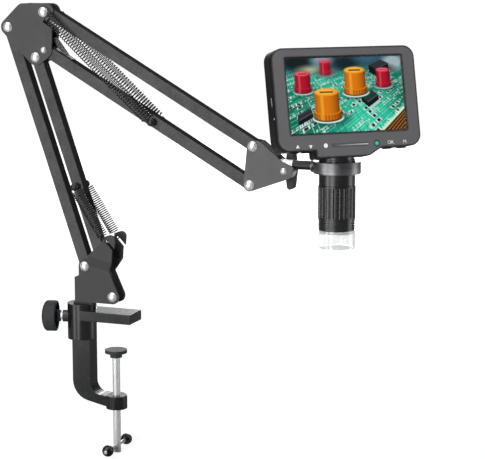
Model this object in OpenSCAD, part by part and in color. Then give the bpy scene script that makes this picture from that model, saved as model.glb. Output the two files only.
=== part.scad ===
// Digital microscope with a built-in colour display, carried by a balanced
// scissor arm that clamps to the edge of a desk.
// Millimetres, +Z up. The origin lies on the swivel axis of the arm, in the plane
// of the desk top that the clamp's upper jaw rests on. The arm works in the XZ plane.

/* [Clamp] */
// Thickness of the desk top held at rest
desk_t = 32; // [20:1:45]
// Outer diameter of the swivel sleeve
sleeve_d = 31.5; // [28:0.5:36]
// Height of the sleeve above the desk top
sleeve_top = 17; // [15:0.5:24]
// Depth of the sleeve below the desk top
sleeve_drop = 22; // [18:1:28]
// Length of the upper jaw from the swivel axis
jaw_len = 63.5; // [58:0.5:80]
// Width of the upper jaw
jaw_w = 30; // [24:0.5:31]
// Thickness of the upper jaw
jaw_t = 10.5; // [8:0.5:13]
// Thickness of the clamp's spine, seen from the front
spine_w = 21; // [16:0.5:22]
// Width of the clamp's spine across the arm
spine_depth = 18; // [14:0.5:24]
// Height from the jaw down to the screw boss
throat_h = 82.5; // [78:0.5:95]
// Distance from the swivel axis to the clamping screw
screw_x = 40; // [36:0.5:46]
// Diameter of the screw boss
boss_d = 23; // [18:0.5:26]
// Height of the screw boss
boss_h = 14.5; // [12:0.5:18]

/* [Clamping screw] */
// Diameter of the clamping screw
screw_d = 8; // [7:0.5:9]
// Length of the clamping screw below its pad
screw_len = 106; // [100:1:112]
// Diameter of the screw's nose inside the pad
nose_d = 6; // [5:0.25:6.5]
// Diameter of the pressure pad
pad_d = 24; // [20:0.5:28]
// Thickness of the pressure pad's disc
pad_t = 3.5; // [3:0.25:5]
// Diameter of the pad's socket
socket_d = 13; // [11:0.5:15]
// Height of the pad's socket
socket_h = 5; // [4:0.5:6]
// Diameter of the sliding bar
tommy_d = 4; // [3:0.25:4.5]
// Distance between the bar's ball centres
tommy_len = 47; // [44:1:60]
// Diameter of the balls
ball_d = 12.5; // [9:0.5:13]
// Height of the sliding bar above the screw's lower end
tommy_up = 7.5; // [6:0.5:10]

/* [Swivel lock] */
// Diameter of the locking knob
knob_d = 33.5; // [28:0.5:34]
// Length of the locking knob from its rim to the top of its dome
knob_len = 16.5; // [10:0.5:18]
// Height of the dome on the locking knob
knob_dome_h = 6.5; // [3:0.5:8]
// Height of the locking screw above the desk top
lock_z = 1.8; // [0:0.1:2]
// Diameter of the locking screw
lock_d = 8; // [6:0.5:8]
// Diameter of the boss that holds the locking screw
lock_boss_d = 13; // [12:0.5:15]
// Length of that boss outside the sleeve
lock_boss_len = 5; // [4:0.5:8]
// Gap between the boss and the knob's hub
knob_gap = 2.8; // [2:0.2:6]
// Turn of the locking screw towards the front, in degrees
lock_turn = 17; // [0:1:25]

/* [Arm] */
// Width of the square tubes
tube_w = 12; // [11:0.25:13]
// Wall of the square tubes
tube_wall = 1.2; // [1:0.1:1.6]
// Thickness of the bent sheet-steel brackets
plate_t = 1.8; // [1.5:0.1:2.2]
// Thickness of the washers beside each tube
washer_t = 0.5; // [0.4:0.1:0.8]
// Diameter of the washers
washer_d = 9; // [8:0.25:10]
// Diameter of the pivot pins
pin_d = 5; // [4:0.25:5.5]
// Diameter of the large rivet heads
rivet_d = 10.2; // [9:0.2:11]
// Height of the rivet heads
rivet_h = 3; // [2:0.25:3.5]
// Diameter of the small rivet heads
small_rivet_d = 6.6; // [6:0.2:8]
// Distance between the pivots of the lower arm
lower_len = 268; // [250:1:290]
// Distance between the pivots of the upper arm
upper_len = 268; // [250:1:290]
// Lean of the lower arm from upright
lower_lean = 18.8; // [14:0.2:24]
// Slope of the upper arm below level
upper_slope = 29.7; // [24:0.1:36]

/* [Pivots] */
// Base pivot of the left bar, from the swivel axis
base_x = 8; // [6:0.5:12]
// Height of that pivot above the bracket's floor
base_rise = 39.3; // [36:0.1:42]
// Step from the left to the right base pivot, across
link_dx = 32.4; // [30:0.1:35]
// Step from the left to the right base pivot, down
link_dz = 31.5; // [29:0.1:34]
// Step from the elbow's left pivot to its top pivot, across
elbow_dx = 46; // [44:0.2:48]
// Step from the elbow's left pivot to its top pivot, up
elbow_dz = 16.6; // [15:0.2:18]
// Step from the elbow's top pivot to the lower bar's pivot, back
pair_dx = 3.5; // [2.5:0.1:4]
// Step from the elbow's top pivot to the lower bar's pivot, down
pair_dz = 40.2; // [39:0.1:42]
// Step from the head's top pivot to the tilt axis, across
tilt_dx = 33.7; // [32:0.1:36]
// Step from the head's top pivot to the tilt axis, down
tilt_dz = 23.9; // [22:0.1:26]

/* [Springs] */
// Wire diameter of the balance springs
wire_d = 1.2; // [1:0.1:2]
// Outer diameter of the upper springs
upper_coil_d = 10.5; // [9:0.25:11]
// Outer diameter of the lower springs
lower_coil_d = 10; // [9:0.25:11]
// Distance of the springs from the arm's middle plane
spring_y = 13.9; // [13.7:0.1:15]
// Distance from the lower arm's right pivot to its spring post
lower_post_at = 124.3; // [115:0.5:135]
// Distance from the upper arm's lower pivot to its spring post
upper_post_at = 144.7; // [135:0.5:155]
// Coil pitch of the upper springs
upper_pitch = 3.6; // [3:0.1:5]
// Coil pitch of the lower springs
lower_pitch = 2.2; // [2:0.1:3]

/* [Head joint] */
// Radius of the rounded end of the pivot block
block_r = 9; // [8:0.25:9.5]
// Height of the stud above the tilt axis
stud_rise = 6.1; // [5:0.1:7]
// Diameter of the pivot block's shoulder
shoulder_d = 10; // [9:0.25:11]
// Diameter of the stud inside the rod
stud_d = 6; // [5:0.25:6.5]
// Diameter of the extension rod
rod_d = 9.5; // [9:0.25:10.5]
// Distance from the tilt axis to the middle of the ring
reach = 53.8; // [52:0.2:60]
// Length of the wing knob
wing_len = 43; // [36:1:46]
// Outer diameter of the ring
ring_d = 48; // [46:0.5:52]
// Height of the ring
ring_h = 12; // [10:0.5:13]
// Diameter of the lug that takes the rod
lug_d = 13.2; // [12.5:0.2:14]

/* [Microscope body] */
// Turn of the microscope in its ring
head_turn = 44.7; // [35:0.1:60]
// Lean of the display away from the optical axis
head_lean = 12; // [8:0.5:14]
// Width of the body
panel_w = 159; // [152:0.5:168]
// Height of the body above the middle of the display
panel_up = 47.5; // [45:0.5:52]
// Height of the body below the middle of the display
panel_down = 54.5; // [53:0.5:56]
// Depth of the chin below the body
chin_drop = 7.7; // [6.5:0.1:8.5]
// Depth of the body
panel_t = 18; // [17:0.5:21]
// Depth of the front bezel
bezel_t = 7; // [6.5:0.1:8]
// Wall of the two shells
shell_wall = 1.8; // [1.5:0.1:2.2]
// Thickness of the bezel's front
face_t = 2; // [1.6:0.1:2.2]
// Radius of the body's corners
corner_r = 12; // [10:0.5:14]
// Width of the display
screen_w = 130; // [120:0.5:131]
// Height of the display
screen_h = 75.5; // [70:0.5:77]
// Thickness of the cover glass
glass_t = 1.7; // [1:0.1:1.8]
// Depth of the optical axis behind the display at the chin
axis_depth = 20; // [19.5:0.1:22]
// Offset of the optical axis from the display's middle
axis_shift = 6.2; // [4:0.1:8]
// Height of the display's middle above the ring
panel_rise = 73.2; // [73:0.2:78]

/* [Lens barrel] */
// Outer diameter of the barrel
barrel_d = 36.8; // [35:0.2:37.5]
// Length of the smooth part below the ring's middle
smooth_len = 18.3; // [14:0.1:22]
// Length of the focus grip
grip_len = 34; // [28:0.5:40]
// Outer diameter of the focus grip
grip_d = 37.8; // [37.8:0.2:39]
// Number of flutes on the focus grip
flutes = 26; // [18:1:32]
// Length of the barrel's nose
nose_len = 11.5; // [9:0.5:14]
// Length of the clear lamp hood
hood_len = 18.5; // [14:0.5:26]
// Outer diameter of the lamp hood
hood_d = 38; // [37.6:0.2:39]
// Wall of the lamp hood
hood_wall = 1.6; // [1.2:0.1:2]
// Bore of the barrel's inner sleeve
sleeve_bore = 26; // [24:0.5:27]
// Wall of the barrel's inner sleeve
sleeve_wall = 2; // [1.5:0.1:2.5]

/* [Keys] */
// Width of the keys
key_w = 9; // [7:0.5:10]
// Depth of the keys
key_depth = 4; // [3:0.25:5]
// How far a key stands out of the body
key_out = 1.2; // [1:0.1:1.5]
// Travel of the keys
key_travel = 0.6; // [0.4:0.1:0.6]
// Distance of the keys behind the display face
key_y = 10.5; // [10:0.1:12]

/* [Fits] */
// Radial clearance of pins, spigots and screws that turn
run_fit = 0.06; // [0.04:0.01:0.09]
// Clearance around pieces that are set in a recess
seat_fit = 0.15; // [0.1:0.01:0.25]
// Radial clearance of the ring around the barrel
ring_fit = 0.1; // [0.05:0.01:0.15]
// Radial clearance of the pivots that close each parallelogram
open_fit = 0.25; // [0.2:0.05:0.4]

/* [Hidden] */
$fn = 48;

tiny = 0.01;
head_edge = 0.8;
arc_step = 12;

// The arm's sections across the middle plane.
half_tube = tube_w / 2;
plate_in = half_tube + washer_t;
plate_out = plate_in + plate_t;
groove_w = wire_d + 0.6;
groove_in = spring_y - groove_w / 2;
groove_out = spring_y + groove_w / 2;

// The pivots in the XZ plane.
flange_t = 2.4;
floor_z = sleeve_top + flange_t;
base_left = [base_x, floor_z + base_rise];
base_right = base_left + [link_dx, -link_dz];
lower_dir = [-sin(lower_lean), cos(lower_lean)];
upper_dir = [cos(upper_slope), -sin(upper_slope)];
elbow_left = base_left + lower_len * lower_dir;
elbow_right = base_right + lower_len * lower_dir;
elbow_top = elbow_left + [elbow_dx, elbow_dz];
elbow_low = elbow_top - [pair_dx, pair_dz];
head_top = elbow_top + upper_len * upper_dir;
head_low = elbow_low + upper_len * upper_dir;
tilt_axis = head_top + [tilt_dx, -tilt_dz];
lower_post = base_right + lower_post_at * lower_dir;
upper_post = elbow_low + upper_post_at * upper_dir;
ring_x = tilt_axis[0] + reach;
ring_z = tilt_axis[1] + stud_rise;

// The hooks that the lower springs are held by.
hook_back = 2.9;
hook_rise = 61.1;
hook_seat = base_right + [-hook_back, hook_rise];
hook_slot_w = 3;
hook_strip = 4;
hook_angle = 46;
loop_r = 3.5;
post_neck_d = pin_d + 2;
post_head_d = post_neck_d + 0.6;
head_gap = 0.5;
lower_anchor = hook_seat + (hook_strip / 2 + 0.3) * [-cos(hook_angle), sin(hook_angle)];

// The clamp.
pad_top = -desk_t;
pad_bottom = pad_top - pad_t - socket_h;
nose_end = pad_top - pad_t + 0.8;
screw_bottom = pad_bottom - screw_len;
tommy_z = screw_bottom + tommy_up;
spigot_d = 12;
spigot_foot = 3;
tommy_reach = (tommy_len + ball_d) / 2;
knob_hub_end = sleeve_d / 2 + lock_boss_len + knob_gap;
knob_hub_len = 3.8;
knob_rim = knob_hub_end + knob_hub_len + knob_len - knob_dome_h;

// The microscope, measured from the middle of the ring.
neck_d = barrel_d - 3.2;
neck_foot_h = 1.6;
neck_top = 22;
neck_step = 12;
neck_small_d = 28;
shoulder_z = ring_h / 2 + 0.6;
grip_top = -smooth_len;
grip_bottom = grip_top - grip_len;
nose_bottom = grip_bottom - nose_len;
hood_bottom = nose_bottom - hood_len;
sleeve_out = sleeve_bore + 2 * sleeve_wall;
panel_pos = [axis_shift, -axis_depth + (panel_rise - 16) * tan(head_lean), panel_rise];
board_y = 8;
board_t = 1.6;
boss_screw_x = panel_w / 2 - 6.5;
boss_screw_z = [panel_up - 5.3, -panel_down + 7.5];
key_top_gap = key_travel + 0.3;
hump_d = barrel_d + 4.4;
hump_top = 46;
hump_bottom = 8.6;
chin_left = -38.7;
chin_flat = 20.8;
chin_end = 33;

steel = [0.36, 0.36, 0.36];
dark = [0.12, 0.12, 0.12];
black = [0.07, 0.07, 0.07];
chrome = [0.85, 0.85, 0.86];
bezel_grey = [0.42, 0.42, 0.43];
board_green = [0.05, 0.35, 0.2];

// ---- Outlines -------------------------------------------------------------

// An angle brought into the range from 0 to 360.
function turn360(a) = a - 360 * floor(a / 360);

// Direction of the outward normal of the line that touches two circles [x, y, r].
function tangent_normal(a, b) =
  let (d = [b[0] - a[0], b[1] - a[1]])
  atan2(d[1], d[0]) - acos((a[2] - b[2]) / norm(d));

// Points of one circle of a belt, between its two tangents.
function belt_arc(c, a0, sweep) =
  let (n = c[2] == 0 ? 0 : max(1, ceil(abs(sweep) / arc_step)))
  n == 0 ? [[c[0], c[1]]]
         : [for (k = [0 : n]) [c[0] + c[2] * cos(a0 + sweep * k / n),
                               c[1] + c[2] * sin(a0 + sweep * k / n)]];

// Outline that runs anticlockwise around circles [x, y, r]. A negative r gives a
// hollow corner, and an r of 0 a sharp one.
function belt(c) = [
  for (i = [0 : len(c) - 1])
    let (n = len(c),
         a0 = tangent_normal(c[(i + n - 1) % n], c[i]),
         a1 = tangent_normal(c[i], c[(i + 1) % n]),
         sweep = c[i][2] >= 0 ? turn360(a1 - a0) : -turn360(a0 - a1))
      each belt_arc(c[i], a0, sweep)];

// A belt circle at point p with radius r.
function at(p, r) = [p[0], p[1], r];

// Rounded rectangle from (x0, z0) to (x1, z1).
function rounded(x0, x1, z0, z1, r) = belt([
  [x0 + r, z0 + r, r], [x1 - r, z0 + r, r], [x1 - r, z1 - r, r], [x0 + r, z1 - r, r]]);

// Extrudes a 2D outline in (x, z) along Y, from y0 to y1.
module slab(y0, y1) {
  translate([0, y1, 0]) rotate([90, 0, 0]) linear_extrude(y1 - y0) children();
}

// Round bar along Y at point p of the XZ plane.
module rod_y(p, d, y0, y1) {
  translate([p[0], y0, p[1]]) rotate([-90, 0, 0]) cylinder(d = d, h = y1 - y0);
}

// Places children with their X axis along the line from p towards direction dir.
module along(p, dir) {
  translate([p[0], 0, p[1]]) rotate([0, -atan2(dir[1], dir[0]), 0]) children();
}

// Low dome on the XY plane, bulging towards +Z, with a foot of diameter d.
module dome(d, h) {
  r = (d * d / 4 + h * h) / (2 * h);
  intersection() {
    translate([0, 0, h - r]) sphere(r, $fn = 64);
    translate([-d, -d, -tiny]) cube([2 * d, 2 * d, 2 * h]);
  }
}

// Domed head at point p, on the side (-1 front, 1 rear), its flat face at |y| = y0.
module head_y(p, d, h, side, y0) {
  translate([p[0], side * y0, p[1]]) rotate([-90 * side, 0, 0]) {
    cylinder(d = d, h = head_edge);
    translate([0, 0, head_edge]) dome(d - 0.4, h - head_edge);
  }
}

// Solid rivet through both plates of a bracket.
module rivet(p, head_d) {
  rod_y(p, pin_d, -plate_out - tiny, plate_out + tiny);
  for (side = [-1, 1]) head_y(p, head_d, rivet_h, side, plate_out);
}

// The two washers beside a tube at point p.
module washer_pair(p) {
  for (y = [-plate_in, half_tube]) difference() {
    rod_y(p, washer_d, y, y + washer_t);
    rod_y(p, pin_d + 0.4, y - 1, y + washer_t + 1);
  }
}

// ---- Clamp ----------------------------------------------------------------

// Places children on the locking screw's axis, with Z from the knob towards the sleeve.
module in_lock() {
  rotate([0, 0, lock_turn]) translate([0, 0, lock_z]) rotate([0, 90, 0]) children();
}

module clamp_frame() {
  inner_x = sleeve_d / 2 - 2.8;
  outer_x = inner_x - spine_w;
  low_r = 22;
  bend_r = 12;
  color(black) difference() {
    union() {
      translate([0, 0, -sleeve_drop]) cylinder(d = sleeve_d, h = sleeve_drop + sleeve_top, $fn = 96);
      translate([0, -jaw_w / 2, 0]) cube([jaw_len, jaw_w, jaw_t]);
      slab(-spine_depth / 2, spine_depth / 2) polygon(belt([
        [inner_x, -2, 0], [outer_x, -2, 0],
        [outer_x + low_r, -throat_h + 14.5, low_r],
        [screw_x, -throat_h - boss_h + 1, 0], [screw_x, -throat_h - 0.8, 0],
        [inner_x + bend_r, -throat_h + bend_r + 0.5, -bend_r]]));
      translate([screw_x, 0, -throat_h - boss_h]) cylinder(d = boss_d, h = boss_h, $fn = 64);
      in_lock() translate([0, 0, -sleeve_d / 2 - lock_boss_len])
        cylinder(d = lock_boss_d, h = sleeve_d / 2 + lock_boss_len - 4);
    }
    translate([0, 0, -sleeve_drop + spigot_foot])
      cylinder(d = spigot_d + 2 * run_fit, h = sleeve_drop + sleeve_top);
    in_lock() translate([0, 0, -sleeve_d]) cylinder(d = lock_d + 2 * run_fit, h = sleeve_d);
    translate([screw_x, 0, -throat_h - boss_h - 1])
      cylinder(d = screw_d + 2 * run_fit, h = boss_h + 2);
  }
}

module clamp_screw() {
  color(chrome) difference() {
    translate([screw_x, 0, 0]) {
      translate([0, 0, screw_bottom]) cylinder(d = screw_d, h = pad_bottom - 0.1 - screw_bottom);
      translate([0, 0, pad_bottom - 1]) cylinder(d = nose_d, h = nose_end - pad_bottom + 1 - 0.1);
    }
    rod_y([screw_x, tommy_z], tommy_d + 2 * run_fit, -screw_d, screw_d);
  }
}

module clamp_pad() {
  color(black) difference() {
    translate([screw_x, 0, 0]) {
      translate([0, 0, pad_top - pad_t]) cylinder(d = pad_d, h = pad_t);
      translate([0, 0, pad_bottom]) cylinder(d = socket_d, h = socket_h + tiny);
    }
    translate([screw_x, 0, pad_bottom - 1])
      cylinder(d = nose_d + 2 * run_fit, h = nose_end - pad_bottom + 1);
  }
}

module tommy_bar() {
  color(chrome) rod_y([screw_x, tommy_z], tommy_d, -tommy_reach, tommy_reach);
}

module tommy_balls() {
  color(black) for (side = [-1, 1]) difference() {
    translate([screw_x, side * tommy_len / 2, tommy_z]) sphere(d = ball_d);
    rod_y([screw_x, tommy_z], tommy_d, -tommy_reach - 1, tommy_reach + 1);
  }
}

// Points of the knob's outer dome, as [radius, height], from the rim to the axis.
function knob_dome(d, rise) = [for (a = [0 : 10 : 90]) [d / 2 * cos(a), rise * sin(a)]];

// Knob that opens towards the sleeve, its hub around the locking screw.
module lock_knob() {
  rim_h = knob_len - knob_dome_h;
  hub_d = lock_d + 4.6;
  wall = 2.5;
  face = 3;
  edge = 0.8;
  color(black) in_lock() translate([0, 0, -knob_rim]) rotate([180, 0, 0]) difference() {
    union() {
      rotate_extrude($fn = 96) polygon(concat(
        [[0, -rim_h], [knob_d / 2 - edge, -rim_h], [knob_d / 2, edge - rim_h]],
        knob_dome(knob_d, knob_dome_h)));
      translate([0, 0, -rim_h - knob_hub_len]) cylinder(d = hub_d, h = rim_h + knob_hub_len);
    }
    difference() {
      translate([0, 0, -rim_h - 1]) cylinder(d = knob_d - 2 * wall, h = rim_h - face - 1);
      translate([0, 0, -rim_h - 2]) cylinder(d = hub_d, h = rim_h);
    }
    translate([0, 0, -rim_h - knob_hub_len - 1]) cylinder(d = lock_d, h = rim_h + knob_hub_len);
  }
}

module lock_screw() {
  tip_x = spigot_d / 2 + 0.1;
  color(chrome) in_lock() translate([0, 0, 1 - knob_rim])
    cylinder(d = lock_d, h = knob_rim - 1 - tip_x);
}

// ---- Base -----------------------------------------------------------------

flange_lip = 1.7;
web_back = 12.3;
web_x = base_left[0] - web_back;
web_top = base_left[1] - web_back;
floor_len = 20.3;
base_left_r = 7.2;
base_right_r = 7.8;
side_corner = base_left + [27.8, -4.9];
side_notch = base_left + [7.6, 0.8];
ear_back = base_left + [4, 0.8];
ear_front = base_left + [28.3, -6];
ear_bend = 12;
ear_bend_at = 41.8;
ear_step = 12;
ear_lap = 3;

module base_spigot() {
  color(steel) {
    translate([0, 0, -sleeve_drop + spigot_foot + 0.2])
      cylinder(d = spigot_d, h = sleeve_drop + sleeve_top - spigot_foot);
    translate([web_x - flange_lip, -plate_out, sleeve_top])
      cube([floor_len + flange_lip, 2 * plate_out, flange_t]);
  }
}

// Sheet that steps outwards from the side plate to the spring ear, front side.
module ear_sheet() {
  step_from = floor_z + ear_bend_at;
  step_to = step_from + ear_step;
  shift = spring_y - plate_t / 2 - plate_in;
  span = 4 * hook_rise;
  rotate([0, ear_bend, 0]) translate([-span / 2, 0, 0]) rotate([90, 0, 90])
    linear_extrude(span) polygon([
      [-plate_in, step_from - ear_lap], [-plate_out, step_from - ear_lap],
      [-plate_out, step_from], [-plate_out - shift, step_to],
      [-plate_out - shift, 2 * step_to], [-plate_in - shift, 2 * step_to],
      [-plate_in - shift, step_to], [-plate_in, step_from]]);
}

// Outline of one side plate of the base, without its ear.
module base_side() {
  polygon(belt([
    [web_x, floor_z, 0], at(base_right, base_right_r), at(side_corner, 1),
    at(side_notch, 0), at(base_left, base_left_r),
    [base_left[0] - base_left_r, web_top, 0], [web_x, web_top, 0]]));
}

// Corners of the ear's hook, measured from its seat, and the radii of its round ones.
ear_hip = [4.4, -22.5];
ear_waist = [6.4, -9.9];
ear_chin = [7.9, -6.3];
ear_chin_r = 1.3;
ear_tip = [4.8, 2.2];
ear_tip_r = 5.2;
ear_crown = [-0.4, 5];
ear_nape = [-7.2, -2];
ear_heel = [-20.9, -16.6];
ear_edge_r = 1;

// Outline of the ear with its hook, and of the sheet between ear and side plate.
module ear_side() {
  s = hook_seat;
  polygon(belt([
    at(ear_back, 0), at(ear_front, 0), at(s + ear_hip, ear_edge_r), at(s + ear_waist, 0),
    at(s + ear_chin, ear_chin_r), at(s + ear_tip, ear_tip_r),
    at(s + ear_crown, ear_edge_r), at(s + ear_nape, 0), at(s + ear_heel, ear_edge_r)]));
}

hook_slot_len = 16;

// Slot of the hook, open at its lower right end.
module hook_slot() {
  rod_y(hook_seat, hook_slot_w, -2 * spring_y, 2 * spring_y);
  along(hook_seat, [cos(hook_angle), -sin(hook_angle)])
    translate([0, -2 * spring_y, -hook_slot_w / 2]) cube([hook_slot_len, 4 * spring_y, hook_slot_w]);
}

module base_bracket() {
  color(steel) difference() {
    union() {
      for (side = [0, 1]) mirror([0, side, 0]) {
        slab(-plate_out, -plate_in) base_side();
        intersection() {
          ear_sheet();
          slab(-spring_y - 4, 0) ear_side();
        }
      }
      translate([web_x, -plate_out, floor_z])
        cube([plate_t, 2 * plate_out, web_top - floor_z]);
      translate([web_x, -plate_out, floor_z]) cube([floor_len, 2 * plate_out, plate_t]);
    }
    for (p = [base_left, base_right]) rod_y(p, pin_d, -plate_out - 9, plate_out + 9);
    hook_slot();
  }
}

module base_rivets() {
  color(chrome) for (p = [base_left, base_right]) rivet(p, rivet_d);
}

module base_washers() {
  color(dark) for (p = [base_left, base_right]) washer_pair(p);
}

// ---- Bars, posts and springs ----------------------------------------------

// Square tube with rounded ends around its two pivots, its holes given their clearance.
module bar(p, dir, length, start_fit, end_fit, posts = []) {
  bore = tube_w - 2 * tube_wall;
  color(steel) along(p, dir) difference() {
    union() {
      translate([0, -half_tube, -half_tube]) cube([length, tube_w, tube_w]);
      for (x = [0, length]) rod_y([x, 0], tube_w, -half_tube, half_tube);
    }
    translate([-tube_w, -bore / 2, -bore / 2]) cube([length + 2 * tube_w, bore, bore]);
    rod_y([0, 0], pin_d + 2 * start_fit, -tube_w, tube_w);
    rod_y([length, 0], pin_d + 2 * end_fit, -tube_w, tube_w);
    for (x = posts) rod_y([x, 0], pin_d, -tube_w, tube_w);
  }
}

module lower_bar_left() { bar(base_left, lower_dir, lower_len, run_fit, run_fit); }
module lower_bar_right() {
  bar(base_right, lower_dir, lower_len, run_fit, open_fit, [lower_post_at]);
}
module upper_bar_top() { bar(elbow_top, upper_dir, upper_len, run_fit, run_fit); }
module upper_bar_bottom() {
  bar(elbow_low, upper_dir, upper_len, run_fit, open_fit, [upper_post_at]);
}

// Cross pin through a tube, with a groove near each end for a spring's loop.
module spring_post(p) {
  color(dark) {
    rod_y(p, pin_d, -groove_out - tiny, groove_out + tiny);
    for (side = [-1, 1]) {
      rod_y(p, post_neck_d, side < 0 ? -groove_in : half_tube, side < 0 ? -half_tube : groove_in);
      head_y(p, post_head_d, 2.2, side, groove_out);
    }
  }
}

module lower_spring_post() { spring_post(lower_post); }
module upper_spring_post() { spring_post(upper_post); }

// Loop of wire around an axis along Z.
module wire_loop(r) {
  rotate_extrude() translate([r, 0]) circle(d = wire_d, $fn = 24);
}

// Close envelope of an extension spring from a to b at one side, with its end loops.
// Its coils begin at `start` from a and end at `finish` before b, with a short neck at each
// end. The loop at b stands across the first one where cross_end is set.
module spring(a, b, y, coil_d, pitch, start, finish, cross_end) {
  dir = (b - a) / norm(b - a);
  length = norm(b - a);
  coil_len = length - start - finish;
  turns = floor(coil_len / pitch);
  step = coil_len / turns;
  core_r = coil_d / 2 - wire_d;
  valley_r = core_r + 0.3 * wire_d;
  translate([0, y, 0]) along(a, dir) {
    rotate([90, 0, 0]) wire_loop(loop_r);
    translate([length, 0, 0]) rotate([cross_end ? 0 : 90, 0, 0]) wire_loop(loop_r);
    translate([start, 0, 0]) rotate([0, 90, 0]) {
      rotate_extrude() polygon(concat(
        [[core_r, 0]],
        [for (k = [0 : turns - 1]) each [[valley_r, k * step], [coil_d / 2, (k + 0.5) * step]]],
        [[valley_r, coil_len], [core_r, coil_len]]));
      for (z = [0, coil_len - wire_d]) translate([0, 0, z]) cylinder(d = coil_d - wire_d, h = wire_d);
      translate([0, 0, loop_r - start]) cylinder(d = wire_d, h = start - loop_r + tiny);
      translate([0, 0, coil_len - tiny]) cylinder(d = wire_d, h = finish - loop_r + tiny);
    }
  }
}

module lower_springs() {
  color(dark) for (side = [-1, 1])
    spring(lower_post, lower_anchor, side * spring_y, lower_coil_d, lower_pitch,
           post_head_d / 2 + head_gap, hook_strip + head_gap, true);
}

module upper_springs() {
  color(dark) for (side = [-1, 1])
    spring(elbow_top, upper_post, side * spring_y, upper_coil_d, upper_pitch,
           rivet_d / 2 + head_gap, post_head_d / 2 + head_gap, false);
}

tongue_w = 8;
tongue_t = 1.2;
tongue_from = 4;
tongue_to = 32;
tongue_bend = [18, 24];
tongue_tip = [1, 3];
tongue_rise = 10.5;

// Folded tongue on the upper arm's lower bar, a stop for the fully raised arm.
module stop_tongue() {
  top = half_tube + tongue_t;
  color(dark) along(elbow_low, upper_dir) slab(-tongue_w / 2, tongue_w / 2) polygon([
    [tongue_from, half_tube], [tongue_to, half_tube], [tongue_to, top],
    [tongue_bend[1], top + 0.2], [tongue_tip[1], half_tube + tongue_rise],
    [tongue_tip[0], half_tube + tongue_rise - 2], [tongue_bend[0], top + 0.2],
    [tongue_from, top]]);
}

// ---- Elbow ----------------------------------------------------------------

elbow_r = 8.6;
elbow_left_r = 8.2;
elbow_low_r = 9.4;
elbow_corner_r = 9;
elbow_corner = elbow_top + [-27.5, -0.4];
elbow_notch = elbow_top + [-2.6, -10.2];
elbow_notch_r = 1.2;
elbow_shelf = elbow_top + [6, -18.3];
elbow_shelf_r = 0.6;
elbow_web_gap = 4.5;

module elbow_side() {
  polygon(belt([
    at(elbow_left, elbow_left_r), at(elbow_right, elbow_r), at(elbow_low, elbow_low_r),
    at(elbow_shelf, elbow_shelf_r), at(elbow_notch, -elbow_notch_r),
    at(elbow_top, elbow_r), at(elbow_corner, elbow_corner_r)]));
}

module elbow_bracket() {
  web_from = elbow_corner[0] + 2;
  web_to = elbow_top[0] - elbow_web_gap;
  color(steel) difference() {
    union() {
      for (y = [-plate_out, plate_in]) slab(y, y + plate_t) elbow_side();
      translate([web_from, -plate_out, elbow_top[1] + elbow_r - plate_t])
        cube([web_to - web_from, 2 * plate_out, plate_t]);
    }
    for (p = [elbow_left, elbow_right, elbow_low, elbow_top])
      rod_y(p, pin_d, -plate_out - 1, plate_out + 1);
  }
}

module elbow_rivets() {
  color(chrome) {
    for (p = [elbow_left, elbow_right]) rivet(p, rivet_d);
    rivet(elbow_low, small_rivet_d);
  }
}

// Long bolt at the top pivot. Its grooves hold the upper springs.
module elbow_bolt() {
  collar_d = pin_d + 3;
  color(chrome) {
    rod_y(elbow_top, pin_d, -groove_out - tiny, groove_out + tiny);
    for (side = [-1, 1]) {
      rod_y(elbow_top, collar_d, side < 0 ? -groove_in : plate_out, side < 0 ? -plate_out : groove_in);
      head_y(elbow_top, rivet_d, rivet_h, side, groove_out);
    }
  }
}

module elbow_washers() {
  color(dark) for (p = [elbow_left, elbow_right, elbow_low, elbow_top]) washer_pair(p);
}

// ---- Head joint -----------------------------------------------------------

yoke_corner = head_top + [7.1, 4.2];
yoke_bend = tilt_axis + [-1.4, 9.1];
yoke_web_len = 23;

module head_side() {
  polygon(belt([
    at(head_low, 6.4), at(tilt_axis, 9.2), at(tilt_axis + [8.7, 2.8], 1.6),
    at(yoke_bend, 0), at(yoke_corner, 1), at(head_top, 6.2)]));
}

// Folded web that joins the two plates of the yoke along their upper edge.
module yoke_web() {
  n_angle = tangent_normal(at(yoke_bend, 0), at(yoke_corner, 1));
  n = [cos(n_angle), sin(n_angle)];
  run = [n[1], -n[0]];
  start = yoke_corner + n;
  slab(-plate_out, plate_out) polygon([
    start - plate_t * n, start + yoke_web_len * run - plate_t * n,
    start + yoke_web_len * run, start]);
}

module head_bracket() {
  color(steel) difference() {
    union() {
      for (y = [-plate_out, plate_in]) slab(y, y + plate_t) head_side();
      yoke_web();
    }
    for (p = [head_top, head_low, tilt_axis]) rod_y(p, pin_d, -plate_out - 1, plate_out + 1);
  }
}

module head_rivets() { color(chrome) for (p = [head_top, head_low]) rivet(p, rivet_d); }
module head_washers() { color(dark) for (p = [head_top, head_low]) washer_pair(p); }

wing_gap = 0.3;
wing_y = plate_out + wing_gap;
wing_t = 13;

module tilt_bolt() {
  color(chrome) {
    rod_y(tilt_axis, pin_d, -plate_out - tiny, wing_y + wing_t - 2);
    head_y(tilt_axis, small_rivet_d, rivet_h - 0.6, -1, plate_out);
  }
}

module wing_knob() {
  tip = wing_len / 2 - 3.2;
  color(black) difference() {
    union() {
      rod_y(tilt_axis, 13, wing_y, wing_y + 3);
      translate([tilt_axis[0], 0, tilt_axis[1]]) slab(wing_y + 1.5, wing_y + wing_t) polygon(belt([
        [0, -tip, 3.2], [0, 0, 5.4], [0, tip, 3.2], [0, 0, 5.4]]));
    }
    rod_y(tilt_axis, pin_d + 2 * run_fit, wing_y - 1, wing_y + wing_t - 1.9);
  }
}

shoulder_back = 8.6;
rod_from = 7.7;
stud_len = 9;
stud_hole = 0.2;
lug_out = ring_d / 2 + 2.5;
lug_depth = 7;

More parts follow.
